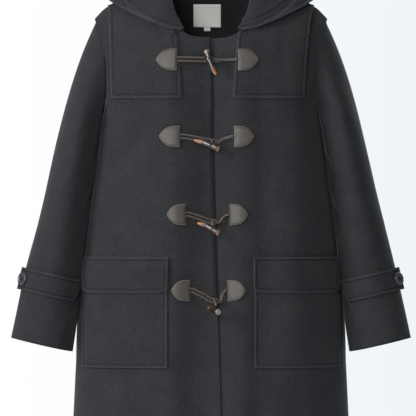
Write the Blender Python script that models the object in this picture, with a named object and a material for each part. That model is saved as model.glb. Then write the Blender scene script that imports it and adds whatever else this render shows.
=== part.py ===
"""Hooded duffle coat of thick wool cloth, a hollow garment that keeps its worn form.

Metres, +Z up. The front faces -Y and the wearer's right is -X. The origin is on the body's
axis at the height of the back neck seam. Every piece is a closed wall with its seams 0.3 mm open.
"""
import math
from collections import namedtuple

import bmesh
import bpy
import numpy as np
from mathutils import Vector

# ---------------------------------------------------------------- driving sizes
CLOTH = 0.0024              # milled wool cloth
LEATHER = 0.0018            # toggle patches
LABEL_CLOTH = 0.0010
SEAM = 0.0003               # gap between neighbouring pieces
LIFT = 0.0010               # clearance under a piece that lies on a curved panel
HEM_Z = -0.900
UNDERARM_Z = -0.240
SHOULDER_POINT_Z = -0.043
NECK_SHOULDER_Z = 0.016
HOOD_CORNER = 0.42          # place on the front neckline where the hood begins
UNDER_REACH = 0.045         # the under front goes this far past the centre
TUCK_START, TUCK_END = 0.028, 0.075     # the under front sinks below the top one here
TUCK = CLOTH + 0.0020

SKIRT_ROWS = 12
ARMHOLE_ROWS = 9
RIDGE_ROWS = 6
EDGE_COLUMNS = 5            # from the front edge to the hood's corner
NECK_COLUMNS = 8            # from the hood's corner to the shoulder seam
BACK_COLUMNS = 9            # from the centre back to the side
ARMHOLE_SHARE = 0.72        # share of the upper rows' rise that lies along the armhole

# ---------------------------------------------------------------- the body's form
# Level sections of the body, a row for each height.
Section = namedtuple("Section", "z half_width front back power")
SECTIONS = (
    Section(-0.900, 0.2560, 0.152, 0.160, 2.2),
    Section(-0.760, 0.2490, 0.148, 0.154, 2.2),
    Section(-0.630, 0.2425, 0.145, 0.148, 2.25),
    Section(-0.500, 0.2300, 0.141, 0.140, 2.3),
    Section(-0.370, 0.2140, 0.137, 0.133, 2.4),
    Section(-0.240, 0.2012, 0.132, 0.128, 2.4),
    Section(-0.160, 0.2080, 0.128, 0.125, 2.4),
    Section(-0.120, 0.2120, 0.121, 0.120, 2.4),
    Section(-0.085, 0.2135, 0.109, 0.112, 2.4),
    Section(-0.060, 0.2125, 0.096, 0.103, 2.4),
    Section(-0.043, 0.2106, 0.085, 0.094, 2.4),
    Section(-0.033, 0.2016, 0.077, 0.088, 2.4),
    Section(-0.018, 0.1850, 0.064, 0.076, 2.4),
    Section(-0.004, 0.1430, 0.050, 0.064, 2.4),
    Section(0.006, 0.1090, 0.036, 0.050, 2.4),
    Section(0.016, 0.0780, 0.020, 0.024, 2.4),
    Section(0.034, 0.0220, 0.008, 0.008, 2.4),
)
# Necklines, from the centre (along 0) to the shoulder seam (along 1).
NeckPoint = namedtuple("NeckPoint", "along x z")
FRONT_NECK = (
    NeckPoint(0.00, 0.000, -0.0790),
    NeckPoint(0.25, 0.030, -0.0770),
    NeckPoint(0.42, 0.049, -0.0690),
    NeckPoint(0.60, 0.062, -0.0450),
    NeckPoint(0.80, 0.0715, -0.0160),
    NeckPoint(1.00, 0.078, 0.0160),
)
FRONT_NECK_Z = FRONT_NECK[0].z
BACK_NECK = (
    NeckPoint(0.00, 0.000, 0.0000),
    NeckPoint(0.35, 0.030, 0.0015),
    NeckPoint(0.70, 0.058, 0.0065),
    NeckPoint(1.00, 0.078, 0.0160),
)
# Armhole, from the underarm (along 0) to the shoulder point (along 1).
ArmholePoint = namedtuple("ArmholePoint", "along front back z")
ARMHOLE = (
    ArmholePoint(0.00, 0.000, 0.000, -0.2400),
    ArmholePoint(0.11, 0.028, 0.030, -0.2335),
    ArmholePoint(0.25, 0.052, 0.057, -0.2100),
    ArmholePoint(0.42, 0.066, 0.072, -0.1700),
    ArmholePoint(0.60, 0.067, 0.074, -0.1300),
    ArmholePoint(0.76, 0.056, 0.061, -0.0920),
    ArmholePoint(0.90, 0.033, 0.036, -0.0600),
    ArmholePoint(1.00, 0.000, 0.000, -0.0430),
)
# Overlap edge of the top front, and the trough down the centre front.
CentreRow = namedtuple("CentreRow", "z edge depth")
CENTRE = (
    CentreRow(-0.900, 0.022, 0.0060),
    CentreRow(-0.630, 0.014, 0.0070),
    CentreRow(-0.400, 0.007, 0.0095),
    CentreRow(-0.240, 0.003, 0.0100),
    CentreRow(-0.150, 0.001, 0.0050),
    CentreRow(-0.079, -0.002, 0.0000),
)
TROUGH_X = -0.008
TROUGH_WIDTH = 0.042

# ---------------------------------------------------------------- sleeves
# Sections square to a sleeve that leans out, and the place of its front seam in degrees.
SleeveRow = namedtuple("SleeveRow", "z x y half_width half_depth front_seam")
SLEEVE = (
    SleeveRow(-0.6315, 0.3069, -0.034, 0.0564, 0.055, 124.0),
    SleeveRow(-0.5800, 0.2980, -0.027, 0.0548, 0.058, 131.0),
    SleeveRow(-0.5450, 0.2925, -0.022, 0.0530, 0.062, 147.0),
    SleeveRow(-0.5100, 0.2869, -0.018, 0.0509, 0.066, 166.0),
    SleeveRow(-0.4400, 0.2743, -0.010, 0.0459, 0.073, 170.0),
    SleeveRow(-0.3700, 0.2611, -0.004, 0.0415, 0.079, 160.0),
    SleeveRow(-0.3000, 0.2483, 0.000, 0.0388, 0.084, 150.0),
)
SLEEVE_TILT = math.radians(13.0)
SLEEVE_COLUMNS = 2 * ARMHOLE_ROWS
FRONT_SPLIT, BACK_SPLIT = 7, 12     # columns where the two pieces of a sleeve meet
BACK_SEAM_ANGLE = 240.0
CAP_ROWS = 4

# ---------------------------------------------------------------- hood, thrown back
# Places on the hood at stations round the neck, from its front corner (0) to the centre back (1):
# the roll at the neck, the bed on the shoulder, the bottom fold, the outer wall and the rim.
HoodRow = namedtuple("HoodRow", "around roll bed fold wall rim")
HOOD = (
    HoodRow(0.00, (0.0495, -0.0935, -0.0655), (0.0520, -0.0965, -0.0660), (0.0550, -0.0985, -0.0680),
            (0.0575, -0.0990, -0.0680), (0.0590, -0.0975, -0.0665)),
    HoodRow(0.15, (0.0660, -0.0900, -0.0340), (0.0770, -0.0965, -0.0440), (0.0860, -0.1000, -0.0570),
            (0.0920, -0.1010, -0.0580), (0.0940, -0.0990, -0.0545)),
    HoodRow(0.30, (0.0770, -0.0750, -0.0020), (0.0980, -0.0800, -0.0150), (0.1240, -0.0800, -0.0340),
            (0.1370, -0.0810, -0.0380), (0.1380, -0.0760, -0.0270)),
    HoodRow(0.42, (0.0830, -0.0450, 0.0240), (0.1100, -0.0500, 0.0110), (0.1480, -0.0500, -0.0130),
            (0.1740, -0.0520, -0.0180), (0.1580, -0.0450, -0.0020)),
    HoodRow(0.50, (0.0880, -0.0040, 0.0400), (0.1200, -0.0020, 0.0200), (0.1580, 0.0040, -0.0010),
            (0.1880, 0.0040, -0.0080), (0.1700, -0.0020, 0.0200)),
    HoodRow(0.62, (0.0750, 0.0440, 0.0400), (0.1050, 0.0600, 0.0180), (0.1500, 0.0780, -0.0340),
            (0.1790, 0.0780, -0.0120), (0.1620, 0.0580, 0.0280)),
    HoodRow(0.80, (0.0420, 0.0680, 0.0350), (0.0640, 0.0980, -0.0350), (0.0980, 0.1260, -0.1300),
            (0.1230, 0.1540, -0.0700), (0.1160, 0.1240, 0.0220)),
    HoodRow(1.00, (0.0000, 0.0760, 0.0300), (0.0000, 0.1180, -0.0800), (0.0000, 0.1400, -0.2320),
            (0.0000, 0.1820, -0.1300), (0.0000, 0.1580, 0.0050)),
)
HOOD_ROWS = 12
HOOD_CLEARANCE = 0.0062

# ---------------------------------------------------------------- pieces on the fronts
YOKE_BOTTOM = -0.188
# How far each yoke reaches from the middle, at its bottom and at its top. The toggles' line, which the
# yokes are even about, lies a little to the right of the neck's middle.
YokeReach = namedtuple("YokeReach", "side inner_bottom inner_top outer_bottom outer_top")
YOKES = (
    YokeReach("left", 0.0390, 0.0490, 0.1645, 0.1850),
    YokeReach("right", 0.0520, 0.0610, 0.1770, 0.1850),
)
YokeTop = namedtuple("YokeTop", "x z")      # its top edge runs under the hood to the shoulder seam
YOKE_TOP = (
    YokeTop(0.061, -0.078), YokeTop(0.068, -0.063), YokeTop(0.076, -0.043), YokeTop(0.086, -0.020),
    YokeTop(0.100, -0.002),
    YokeTop(0.115, 0.001), YokeTop(0.130, -0.0035), YokeTop(0.160, -0.0130), YokeTop(0.185, -0.0215),
)
POCKET_TOP, POCKET_BOTTOM = -0.487, -0.672
POCKET_INNER, POCKET_OUTER = 0.0780, 0.2300
FLAP_TOP, FLAP_BOTTOM = -0.473, -0.538
FLAP_INNER, FLAP_OUTER = 0.0755, 0.2295
FLAP_CORNER = 0.011

PATCH_LENGTH, PATCH_HALF_HEIGHT = 0.037, 0.0193
LOOP_DIAMETER, LOOP_PITCH = 0.0028, 0.0092
CORD_DIAMETER = 0.0036
CORD_GAP = 0.0010           # between a cord's cut end and the edge of its patch
CORD_LOW = 0.0026           # height of a cord that passes under a loop
LOOP_HEIGHT = 0.0070        # height of a loop's end
# A row for each fastening, as x and z on the coat. Out is the height of the toggle's middle line
# over the cloth, and the join is where the cord passes under the end of the loop.
ToggleRow = namedtuple("ToggleRow", "z loop_edge cord_edge join butt tip butt_out tip_out")
TOGGLES = (
    ToggleRow(-0.120, -0.0603, 0.0481, (0.0050, -0.1206), (-0.0081, -0.1080), (0.0090, -0.1494), 0.0210, 0.0200),
    ToggleRow(-0.257, -0.0553, 0.0414, (0.0085, -0.2664), (0.0142, -0.2813), (-0.0299, -0.2646), 0.0210, 0.0200),
    ToggleRow(-0.397, -0.0454, 0.0335, (0.0103, -0.4104), (0.0140, -0.4315), (-0.0239, -0.4122), 0.0210, 0.0200),
    ToggleRow(-0.533, -0.0378, 0.0295, (0.0128, -0.5520), (0.0133, -0.5730), (-0.0054, -0.5640), 0.0440, 0.0120),
)
WAIST = 0.30                # the cord's hole, from the butt
HornRow = namedtuple("HornRow", "along radius")
HORN = (
    HornRow(0.00, 0.0050), HornRow(0.04, 0.0062), HornRow(0.20, 0.0064), HornRow(0.40, 0.0061),
    HornRow(0.60, 0.0053), HornRow(0.80, 0.0041), HornRow(0.93, 0.0028), HornRow(1.00, 0.0014),
)
HORN_SIDES = 10
HORN_BOW = 0.0022

# ---------------------------------------------------------------- cuff tabs and neck label
TAB_TOP, TAB_BOTTOM = -0.504, -0.544
TAB_TANGENT_ANGLE = 42.0
TAB_TAIL = 0.028
BUTTON_ALONG = 0.015        # from the tangent point, along the tail
BUTTON_RADIUS, BUTTON_THICKNESS = 0.0125, 0.0042
LABEL_X, LABEL_WIDTH = -0.007, 0.050
LABEL_TOP, LABEL_BOTTOM = -0.0125, -0.0535
SIZE_TAB_WIDTH, SIZE_TAB_BOTTOM = 0.0115, -0.0605

WOOL = (0.034, 0.036, 0.040, 1.0)
PATCH_BROWN = (0.130, 0.112, 0.098, 1.0)
CORD_BROWN = (0.095, 0.078, 0.066, 1.0)
HORN_BROWN = (0.070, 0.048, 0.034, 1.0)
BUTTON_GREY = (0.030, 0.031, 0.033, 1.0)
LABEL_WHITE = (0.800, 0.800, 0.740, 1.0)


class Profile:
    """A smooth curve through the rows of a table, with no overshoot between them."""

    def __init__(self, keys, values, flat_end=False):
        self.keys = np.array(keys, dtype=float)
        self.values = np.array(values, dtype=float)
        rise = np.diff(self.values) / np.diff(self.keys)
        self.slope = np.zeros(len(self.keys))
        self.slope[0] = rise[0]
        self.slope[-1] = 0.0 if flat_end else rise[-1]
        for i in range(1, len(rise)):
            if rise[i - 1] * rise[i] > 0:
                self.slope[i] = 2 * rise[i - 1] * rise[i] / (rise[i - 1] + rise[i])

    def __call__(self, key):
        key = min(max(key, self.keys[0]), self.keys[-1])
        i = min(int(np.searchsorted(self.keys, key, side="right")) - 1, len(self.keys) - 2)
        width = self.keys[i + 1] - self.keys[i]
        u = (key - self.keys[i]) / width
        low, high = self.values[i], self.values[i + 1]
        return float(
            low * (1 + 2 * u) * (1 - u) ** 2 + high * u * u * (3 - 2 * u)
            + width * (self.slope[i] * u * (1 - u) ** 2 - self.slope[i + 1] * u * u * (1 - u))
        )


def columns_of(table):
    """The table's columns by name."""
    return type(table[0])(*zip(*table))


SECTION = columns_of(SECTIONS)
HALF_WIDTH = Profile(SECTION.z, SECTION.half_width)
FRONT_DEPTH = Profile(SECTION.z, SECTION.front)
BACK_DEPTH = Profile(SECTION.z, SECTION.back)
POWER = Profile(SECTION.z, SECTION.power)
NECK = {True: columns_of(FRONT_NECK), False: columns_of(BACK_NECK)}
NECK_X = {side: Profile(table.along, table.x) for side, table in NECK.items()}
NECK_Z = {side: Profile(table.along, table.z) for side, table in NECK.items()}
HOLE = columns_of(ARMHOLE)
HOLE_Z = Profile(HOLE.along, HOLE.z)
HOLE_DEPTH = {True: Profile(HOLE.along, HOLE.front), False: Profile(HOLE.along, HOLE.back)}
CENTRE_COLUMN = columns_of(CENTRE)
EDGE_X = Profile(CENTRE_COLUMN.z, CENTRE_COLUMN.edge)
TROUGH = Profile(CENTRE_COLUMN.z, CENTRE_COLUMN.depth)
SLEEVE_COLUMN = columns_of(SLEEVE)
HORN_RADIUS = Profile(*columns_of(HORN))
ARM = {
    name: Profile(SLEEVE_COLUMN.z, values)
    for name, values in zip(SLEEVE_COLUMN._fields, SLEEVE_COLUMN)
}


def mix(a, b, share):
    return a + (b - a) * share


def smooth_step(low, high, value):
    u = min(max((value - low) / (high - low), 0.0), 1.0)
    return u * u * (3 - 2 * u)


def curve_through(points, samples):
    """Points on a smooth curve through the given ones, with slopes that heed their spacing."""
    points = [Vector(p) for p in points]
    ends = [points[0] * 2 - points[1]] + points + [points[-1] * 2 - points[-2]]
    curve = []
    last = len(points) - 1
    for k in range(samples):
        along = last * k / (samples - 1)
        i = min(int(along), last - 1)
        u = along - i
        a, b, c, d = ends[i:i + 4]
        before, here, after = (b - a).length, (c - b).length, (d - c).length
        slope_b = (c - a) * (here / (before + here))
        slope_c = (d - b) * (here / (here + after))
        curve.append(b * (1 + 2 * u) * (1 - u) ** 2 + c * u * u * (3 - 2 * u)
                     + slope_b * u * (1 - u) ** 2 - slope_c * u * u * (1 - u))
    return curve


# ---------------------------------------------------------------- the form as a surface
def on_form(angle, z):
    """A point of the section at height z. Angle 0 is the left side, 90 degrees the centre front."""
    share = 2.0 / POWER(z)
    c, s = math.cos(angle), math.sin(angle)
    depth = FRONT_DEPTH(z) if s >= 0 else BACK_DEPTH(z)
    x = HALF_WIDTH(z) * math.copysign(abs(c) ** share, c)
    y = -depth * math.copysign(abs(s) ** share, s)
    return Vector((x, y, z))


def form_normal(angle, z):
    turn, rise = 0.02, 0.001
    along = on_form(angle + turn, z) - on_form(angle - turn, z)
    up = on_form(angle, z + rise) - on_form(angle, z - rise)
    return up.cross(along).normalized()


def angle_at(x, z):
    ratio = min(abs(x) / HALF_WIDTH(z), 1.0)
    return math.acos(math.copysign(ratio ** (POWER(z) / 2), x))


def angle_of_depth(depth, z, is_front):
    whole = FRONT_DEPTH(z) if is_front else BACK_DEPTH(z)
    return math.asin((depth / whole) ** (POWER(z) / 2))


def tuck(x):
    """How far the under front lies below the form, where the top one covers it and just beside."""
    return -TUCK * (1 - smooth_step(TUCK_START, TUCK_END, x))


def front_rise(x, z, is_under):
    """How far a front stands out of the form: the trough, and the tuck of the under front."""
    rise = -TROUGH(z) * math.exp(-((x - TROUGH_X) / TROUGH_WIDTH) ** 2)
    if is_under:
        rise += tuck(x)
    return rise


def front_point(x, z, lift=0.0):
    """A point over the front that shows at x."""
    angle = angle_at(x, z)
    rise = front_rise(x, z, x > EDGE_X(z))
    return on_form(angle, z) + form_normal(angle, z) * (rise + lift)


def over_point(place):
    """A point over the centre front, from its x, z and height above the top front."""
    x, z, height = place
    angle = angle_at(x, z)
    return on_form(angle, z) + form_normal(angle, z) * (front_rise(x, z, False) + height)


# ---------------------------------------------------------------- solids
def solid(name, points, faces, colour, roughness, smooth=True):
    mesh = bpy.data.meshes.new(name)
    work = bmesh.new()
    vertices = [work.verts.new(p) for p in points]
    for face in faces:
        corners = [vertices[i] for i in face]
        work.faces.new(corners)
    bmesh.ops.remove_doubles(work, verts=work.verts, dist=0.000002)
    bmesh.ops.recalc_face_normals(work, faces=work.faces)
    if work.calc_volume(signed=True) < 0:
        bmesh.ops.reverse_faces(work, faces=work.faces)
    bmesh.ops.triangulate(work, faces=work.faces)
    work.to_mesh(mesh)
    work.free()
    if smooth:
        mesh.shade_smooth()
        mesh.set_sharp_from_angle(angle=math.radians(40))
    thing = bpy.data.objects.new(name, mesh)
    bpy.context.collection.objects.link(thing)
    mesh.materials.append(finish(name, colour, roughness))
    return thing


def finish(name, colour, roughness):
    material = bpy.data.materials.new(name + "_finish")
    material.use_nodes = True
    shader = material.node_tree.nodes["Principled BSDF"]
    shader.inputs["Base Color"].default_value = colour
    shader.inputs["Roughness"].default_value = roughness
    return material


def wall(name, outer, inner, colour=WOOL, roughness=0.9, mirror=False):
    """A closed wall between two grids of points."""
    rows, columns = len(outer), len(outer[0])
    points = [p for grid in (outer, inner) for row in grid for p in row]
    if mirror:
        points = [Vector((-p.x, p.y, p.z)) for p in points]
    faces = []
    back = rows * columns
    for r in range(rows - 1):
        for c in range(columns - 1):
            a = r * columns + c
            quad = (a, a + 1, a + columns + 1, a + columns)
            faces.append(quad)
            faces.append(tuple(i + back for i in reversed(quad)))
    rim = [(0, c) for c in range(columns)] + [(r, columns - 1) for r in range(1, rows)]
    rim += [(rows - 1, c) for c in range(columns - 2, -1, -1)] + [(r, 0) for r in range(rows - 2, 0, -1)]
    for (r0, c0), (r1, c1) in zip(rim, rim[1:] + rim[:1]):
        a, b = r0 * columns + c0, r1 * columns + c1
        faces.append((a, b, b + back, a + back))
    return solid(name, points, faces, colour, roughness)


def pull_in(grid, distance, first=False, last=False, top=False):
    """Moves a grid's edges into the piece, which opens its seams."""
    if first:
        for row in grid:
            row[0] = row[0] + (row[1] - row[0]).normalized() * distance
    if last:
        for row in grid:
            row[-1] = row[-1] + (row[-2] - row[-1]).normalized() * distance
    if top:
        grid[-1] = [p + (q - p).normalized() * distance for p, q in zip(grid[-1], grid[-2])]
    return grid


def plate(name, places, lift, thickness, colour=WOOL, roughness=0.9):
    """A piece that lies on a front, from rows of (x, z). Lift is a number or a function of z."""
    height = lift if callable(lift) else (lambda z: lift)
    outer = [[front_point(x, z, height(z) + thickness) for x, z in row] for row in places]
    inner = [[front_point(x, z, height(z)) for x, z in row] for row in places]
    return wall(name, outer, inner, colour, roughness)


# ---------------------------------------------------------------- fronts and back
def neck_place(along, is_front):
    """Angle and height of a point on the neckline. Along is negative past the centre."""
    x = math.copysign(NECK_X[is_front](abs(along)), along)
    z = NECK_Z[is_front](abs(along))
    return angle_at(x, z), z


def end_place(share, is_front):
    """Angle and height on the armhole and then the shoulder seam, over the upper rows."""
    if share <= ARMHOLE_SHARE:
        along = share / ARMHOLE_SHARE
        z = HOLE_Z(along)
        return angle_of_depth(HOLE_DEPTH[is_front](along), z, is_front), z
    return 0.0, mix(SHOULDER_POINT_Z, NECK_SHOULDER_Z, (share - ARMHOLE_SHARE) / (1 - ARMHOLE_SHARE))


def upper_shares():
    armhole = [ARMHOLE_SHARE * i / ARMHOLE_ROWS for i in range(1, ARMHOLE_ROWS + 1)]
    ridge = [ARMHOLE_SHARE + (1 - ARMHOLE_SHARE) * i / RIDGE_ROWS for i in range(1, RIDGE_ROWS + 1)]
    return armhole + ridge


def panel_places(neck_alongs, start_x, is_front):
    """Rows of (angle, z) of a half panel, from its inner edge to the side, hem to shoulder."""
    last = len(neck_alongs) - 1
    places = []
    for k in range(SKIRT_ROWS + 1):
        z = mix(HEM_Z, UNDERARM_Z, k / SKIRT_ROWS)
        start = angle_at(start_x(z), z)
        places.append([(start * (1 - j / last), z) for j in range(last + 1)])
    low_start = angle_at(start_x(UNDERARM_Z), UNDERARM_Z)
    neck = [neck_place(along, is_front) for along in neck_alongs]
    for s in upper_shares():
        end_angle, end_z = end_place(s, is_front)
        start_z = mix(UNDERARM_Z, neck[0][1], s)
        start_angle = angle_at(start_x(start_z), start_z) if s < 1 else neck[0][0]
        row = []
        for j in range(last + 1):
            t = j / last
            angle = mix(low_start * (1 - t), neck[j][0], s) + t * end_angle
            angle += (1 - t) * (start_angle - mix(low_start, neck[0][0], s))
            z = mix(UNDERARM_Z, neck[j][1], s)
            z += t * (end_z - mix(UNDERARM_Z, neck[-1][1], s))
            row.append((angle, z))
        places.append(row)
    return places


def front(name, is_under):
    """One front. The under front is the wearer's left, and the top one is mirrored onto the right."""
    side = 1 if is_under else -1

    def start_x(z):
        return -UNDER_REACH if is_under else -EDGE_X(z)

    start_along = math.copysign(HOOD_CORNER * abs(start_x(FRONT_NECK_Z)) / 0.049, start_x(FRONT_NECK_Z))
    alongs = [mix(start_along, HOOD_CORNER, j / EDGE_COLUMNS) for j in range(EDGE_COLUMNS)]
    alongs += [mix(HOOD_CORNER, 1.0, j / NECK_COLUMNS) for j in range(NECK_COLUMNS + 1)]
    outer, inner = [], []
    for row in panel_places(alongs, start_x, True):
        points = []
        for angle, z in row:
            form, normal = on_form(angle, z), form_normal(angle, z)
            points.append((form + normal * front_rise(side * form.x, z, is_under), normal))
        outer.append([p for p, normal in points])
        inner.append([p - normal * CLOTH for p, normal in points])
    for grid in (outer, inner):
        pull_in(grid, SEAM / 2, last=True, top=True)
    return wall(name, outer, inner, mirror=not is_under)


def back(name):
    alongs = [j / BACK_COLUMNS for j in range(BACK_COLUMNS + 1)]
    outer, inner = [], []
    for row in panel_places(alongs, lambda z: 0.0, False):
        points = [(on_form(-angle, z), form_normal(-angle, z)) for angle, z in row]
        out = [p for p, normal in points]
        ins = [p - normal * CLOTH for p, normal in points]
        for grid, half in ((outer, out), (inner, ins)):
            grid.append([Vector((-p.x, p.y, p.z)) for p in reversed(half[1:])] + half)
    for grid in (outer, inner):
        pull_in(grid, SEAM / 2, first=True, last=True, top=True)
    return wall(name, outer, inner)


# ---------------------------------------------------------------- seams that another piece leaves from
SeamPoint = namedtuple("SeamPoint", "edge normal away")


def seam_points(places, centre, closed):
    """Edge points with the surface's normal and the direction away from the panel there."""
    edges = [on_form(angle, z) for angle, z in places]
    count = len(edges)
    found = []
    for i, (angle, z) in enumerate(places):
        before = edges[i - 1] if closed or i else edges[0]
        after = edges[(i + 1) % count] if closed or i < count - 1 else edges[-1]
        normal = form_normal(angle, z)
        away = normal.cross((after - before).normalized()).normalized()
        if away.dot(centre - edges[i]) < 0:
            away = -away
        found.append(SeamPoint(edges[i], normal, away))
    return found


def leave(seam, direction):
    """First outer and inner points of a wall that leaves a seam in a direction."""
    turn = math.degrees(math.atan2(direction.dot(seam.normal), direction.dot(seam.away)))
    if turn < -100:
        turn += 360
    turn = math.radians(max(turn, 0.0))
    gap = seam.away * math.cos(turn / 2) + seam.normal * math.sin(turn / 2)
    outer = seam.edge + gap * (SEAM / 2 if turn < 1 else SEAM)
    across = seam.away * math.sin(turn) - seam.normal * math.cos(turn)
    return outer, outer + across * CLOTH


# ---------------------------------------------------------------- sleeves
def sleeve_point(angle, z, lift=0.0):
    """A point on the sleeve. Angle 0 is its outer side and 90 degrees its front."""
    def place(a, height):
        a = math.radians(a)
        wide = ARM["half_width"](height) * math.cos(a)
        deep = ARM["half_depth"](height) * math.sin(a)
        return Vector((ARM["x"](height) + wide * math.cos(SLEEVE_TILT), ARM["y"](height) - deep,
                       height + wide * math.sin(SLEEVE_TILT)))

    if not lift:
        return place(angle, z)
    along = place(angle + 1, z) - place(angle - 1, z)
    up = place(angle, min(z + 0.002, SLEEVE[-1].z)) - place(angle, max(z - 0.002, SLEEVE[0].z))
    return place(angle, z) + up.cross(along).normalized() * lift


def sleeve_angle(column, z):
    seam = ARM["front_seam"](z)
    if column <= FRONT_SPLIT:
        return seam * column / FRONT_SPLIT
    if column <= BACK_SPLIT:
        return mix(seam, BACK_SEAM_ANGLE, (column - FRONT_SPLIT) / (BACK_SPLIT - FRONT_SPLIT))
    return mix(BACK_SEAM_ANGLE, 360.0, (column - BACK_SPLIT) / (SLEEVE_COLUMNS - BACK_SPLIT))


def armhole_seam():
    front_part = [end_place(ARMHOLE_SHARE * i / ARMHOLE_ROWS, True) for i in range(ARMHOLE_ROWS, 0, -1)]
    back_part = [end_place(ARMHOLE_SHARE * i / ARMHOLE_ROWS, False) for i in range(ARMHOLE_ROWS)]
    places = front_part + [(-angle, z) for angle, z in back_part]
    return seam_points(places, Vector((0.2, 0.0, -0.14)), True)


def sleeve_direction(column):
    """Which way the cloth leaves the armhole: down at the underarm, outwards elsewhere."""
    a = 2 * math.pi * column / SLEEVE_COLUMNS
    top, under = max(math.cos(a), 0.0) ** 2, max(-math.cos(a), 0.0) ** 2
    level = abs(math.sin(a)) ** 2
    return Vector((0.45 * top + 0.03 * under + 0.74 * level, -0.42 * math.sin(a) * abs(math.sin(a)),
                   -0.89 * top - under - 0.53 * level)).normalized()


def sleeve(side):
    seams = armhole_seam()
    first = SLEEVE[-1].z
    cuff_rows = [first - 0.035 * k for k in range(9)] + [row.z for row in SLEEVE[2::-1]]
    cuff_rows = sorted({round(z, 4) for z in cuff_rows if z > SLEEVE[0].z - 0.001}, reverse=True)
    outer, inner = [], []
    starts = [leave(seams[c], sleeve_direction(c)) for c in range(SLEEVE_COLUMNS)]
    outer.append([start[0] for start in starts])
    inner.append([start[1] for start in starts])
    for k in range(1, CAP_ROWS + 1):
        u = k / (CAP_ROWS + 1)
        row = []
        for c in range(SLEEVE_COLUMNS):
            a, b = starts[c][0], sleeve_point(sleeve_angle(c, first), first)
            below = sleeve_point(sleeve_angle(c, first - 0.07), first - 0.07)
            reach = (b - a).length
            leaving = sleeve_direction(c) * reach * 0.9
            arriving = (below - b).normalized() * reach
            row.append(a * (1 + 2 * u) * (1 - u) ** 2 + b * u * u * (3 - 2 * u)
                       + leaving * u * (1 - u) ** 2 - arriving * u * u * (1 - u))
        outer.append(row)
    outer += [[sleeve_point(sleeve_angle(c, z), z) for c in range(SLEEVE_COLUMNS)] for z in cuff_rows]
    for r in range(1, len(outer)):
        below = outer[min(r + 1, len(outer) - 1)]
        row = []
        for c in range(SLEEVE_COLUMNS):
            along = outer[r][(c + 1) % SLEEVE_COLUMNS] - outer[r][c - 1]
            normal = along.cross(below[c] - outer[r - 1][c]).normalized()
            row.append(outer[r][c] - normal * CLOTH)
        inner.append(row)
    upper = [c % SLEEVE_COLUMNS for c in range(BACK_SPLIT, SLEEVE_COLUMNS + FRONT_SPLIT + 1)]
    under = list(range(FRONT_SPLIT, BACK_SPLIT + 1))
    for piece, chosen in (("upper", upper), ("under", under)):
        grids = [[[row[c] for c in chosen] for row in grid] for grid in (outer, inner)]
        for grid in grids:
            pull_in(grid, SEAM / 2, first=True, last=True)
        wall(f"sleeve_{piece}_{side}", *grids, mirror=side == "right")


# ---------------------------------------------------------------- hood
def clear_of_body(point, clearance):
    """Moves a point out of the form until it has this clearance."""
    def level(p):
        depth = FRONT_DEPTH(p.z) if p.y < 0 else BACK_DEPTH(p.z)
        power = POWER(p.z)
        return ((abs(p.x) / HALF_WIDTH(p.z)) ** power + (abs(p.y) / depth) ** power) ** (1 / power) - 1

    step = 0.0005
    for _ in range(4):
        slope = Vector([
            (level(point + axis * step) - level(point - axis * step)) / (2 * step)
            for axis in (Vector((1, 0, 0)), Vector((0, 1, 0)), Vector((0, 0, 1)))
        ])
        gap = level(point) / slope.length
        if gap >= clearance:
            break
        point = point + slope.normalized() * (clearance - gap)
    return point


def neck_seam():
    """The neckline's points from the hood's corner over the shoulder to the centre back."""
    places = [neck_place(mix(HOOD_CORNER, 1.0, j / NECK_COLUMNS), True) for j in range(NECK_COLUMNS)]
    rear = [neck_place(1 - j / BACK_COLUMNS, False) for j in range(BACK_COLUMNS + 1)]
    places += [(-angle, z) for angle, z in rear]
    around = [0.5 * j / NECK_COLUMNS for j in range(NECK_COLUMNS)]
    around += [0.5 + 0.5 * j / BACK_COLUMNS for j in range(BACK_COLUMNS + 1)]
    return around, seam_points(places, Vector((0.0, -0.01, 0.05)), False)


def hood_controls(around):
    column = columns_of(HOOD)
    controls = []
    for places in column[1:]:
        controls.append(Vector([
            Profile(column.around, values, flat_end=axis > 0)(around)
            for axis, values in enumerate(zip(*places))
        ]))
    return controls


def hood(side):
    around, seams = neck_seam()
    curves, inner_starts = [], []
    for share, seam in zip(around, seams):
        controls = hood_controls(share)
        start, inner_start = leave(seam, (controls[0] - seam.edge).normalized())
        inner_starts.append(inner_start)
        curve = curve_through([start] + controls, HOOD_ROWS)
        for k in range(2, HOOD_ROWS):
            room = min(HOOD_CLEARANCE, 0.45 * (curve[k] - start).length)
            curve[k] = clear_of_body(curve[k], room)
        curves.append(curve)
    last = len(curves) - 1
    outer = [[curves[c][r] for c in range(last + 1)] for r in range(HOOD_ROWS)]
    inner = [inner_starts]
    for r in range(1, HOOD_ROWS):
        row = []
        for c in range(last + 1):
            before = outer[r][max(c - 1, 0)]
            after = outer[r][c + 1] if c < last else Vector((-outer[r][c - 1].x, *outer[r][c - 1].yz))
            up = outer[min(r + 1, HOOD_ROWS - 1)][c] - outer[r - 1][c]
            row.append(outer[r][c] - (after - before).cross(up).normalized() * CLOTH)
        inner.append(row)
    for grid in (outer, inner):
        for row in grid:
            row[-1].x = SEAM / 2
    wall(f"hood_{side}", outer, inner, mirror=side == "right")


# ---------------------------------------------------------------- yokes, pockets and flaps
def yoke(side):
    """A storm flap from the shoulder seam down over the chest."""
    sign = 1 if side == "left" else -1
    reach = next(row for row in YOKES if row.side == side)
    top_edge = Profile(*columns_of(YOKE_TOP))
    rows, columns = 10, 10
    places = []
    for r in range(rows + 1):
        v = r / rows
        row = []
        for c in range(columns + 1):
            x_top = mix(reach.inner_top, reach.outer_top, c / columns)
            z = mix(YOKE_BOTTOM, top_edge(x_top), 1 - (1 - v) ** 1.6)
            x = mix(mix(reach.inner_bottom, reach.outer_bottom, c / columns), x_top, v)
            row.append((sign * x, z))
        places.append(row)
    plate(f"yoke_{side}", places, LIFT, CLOTH)


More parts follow.
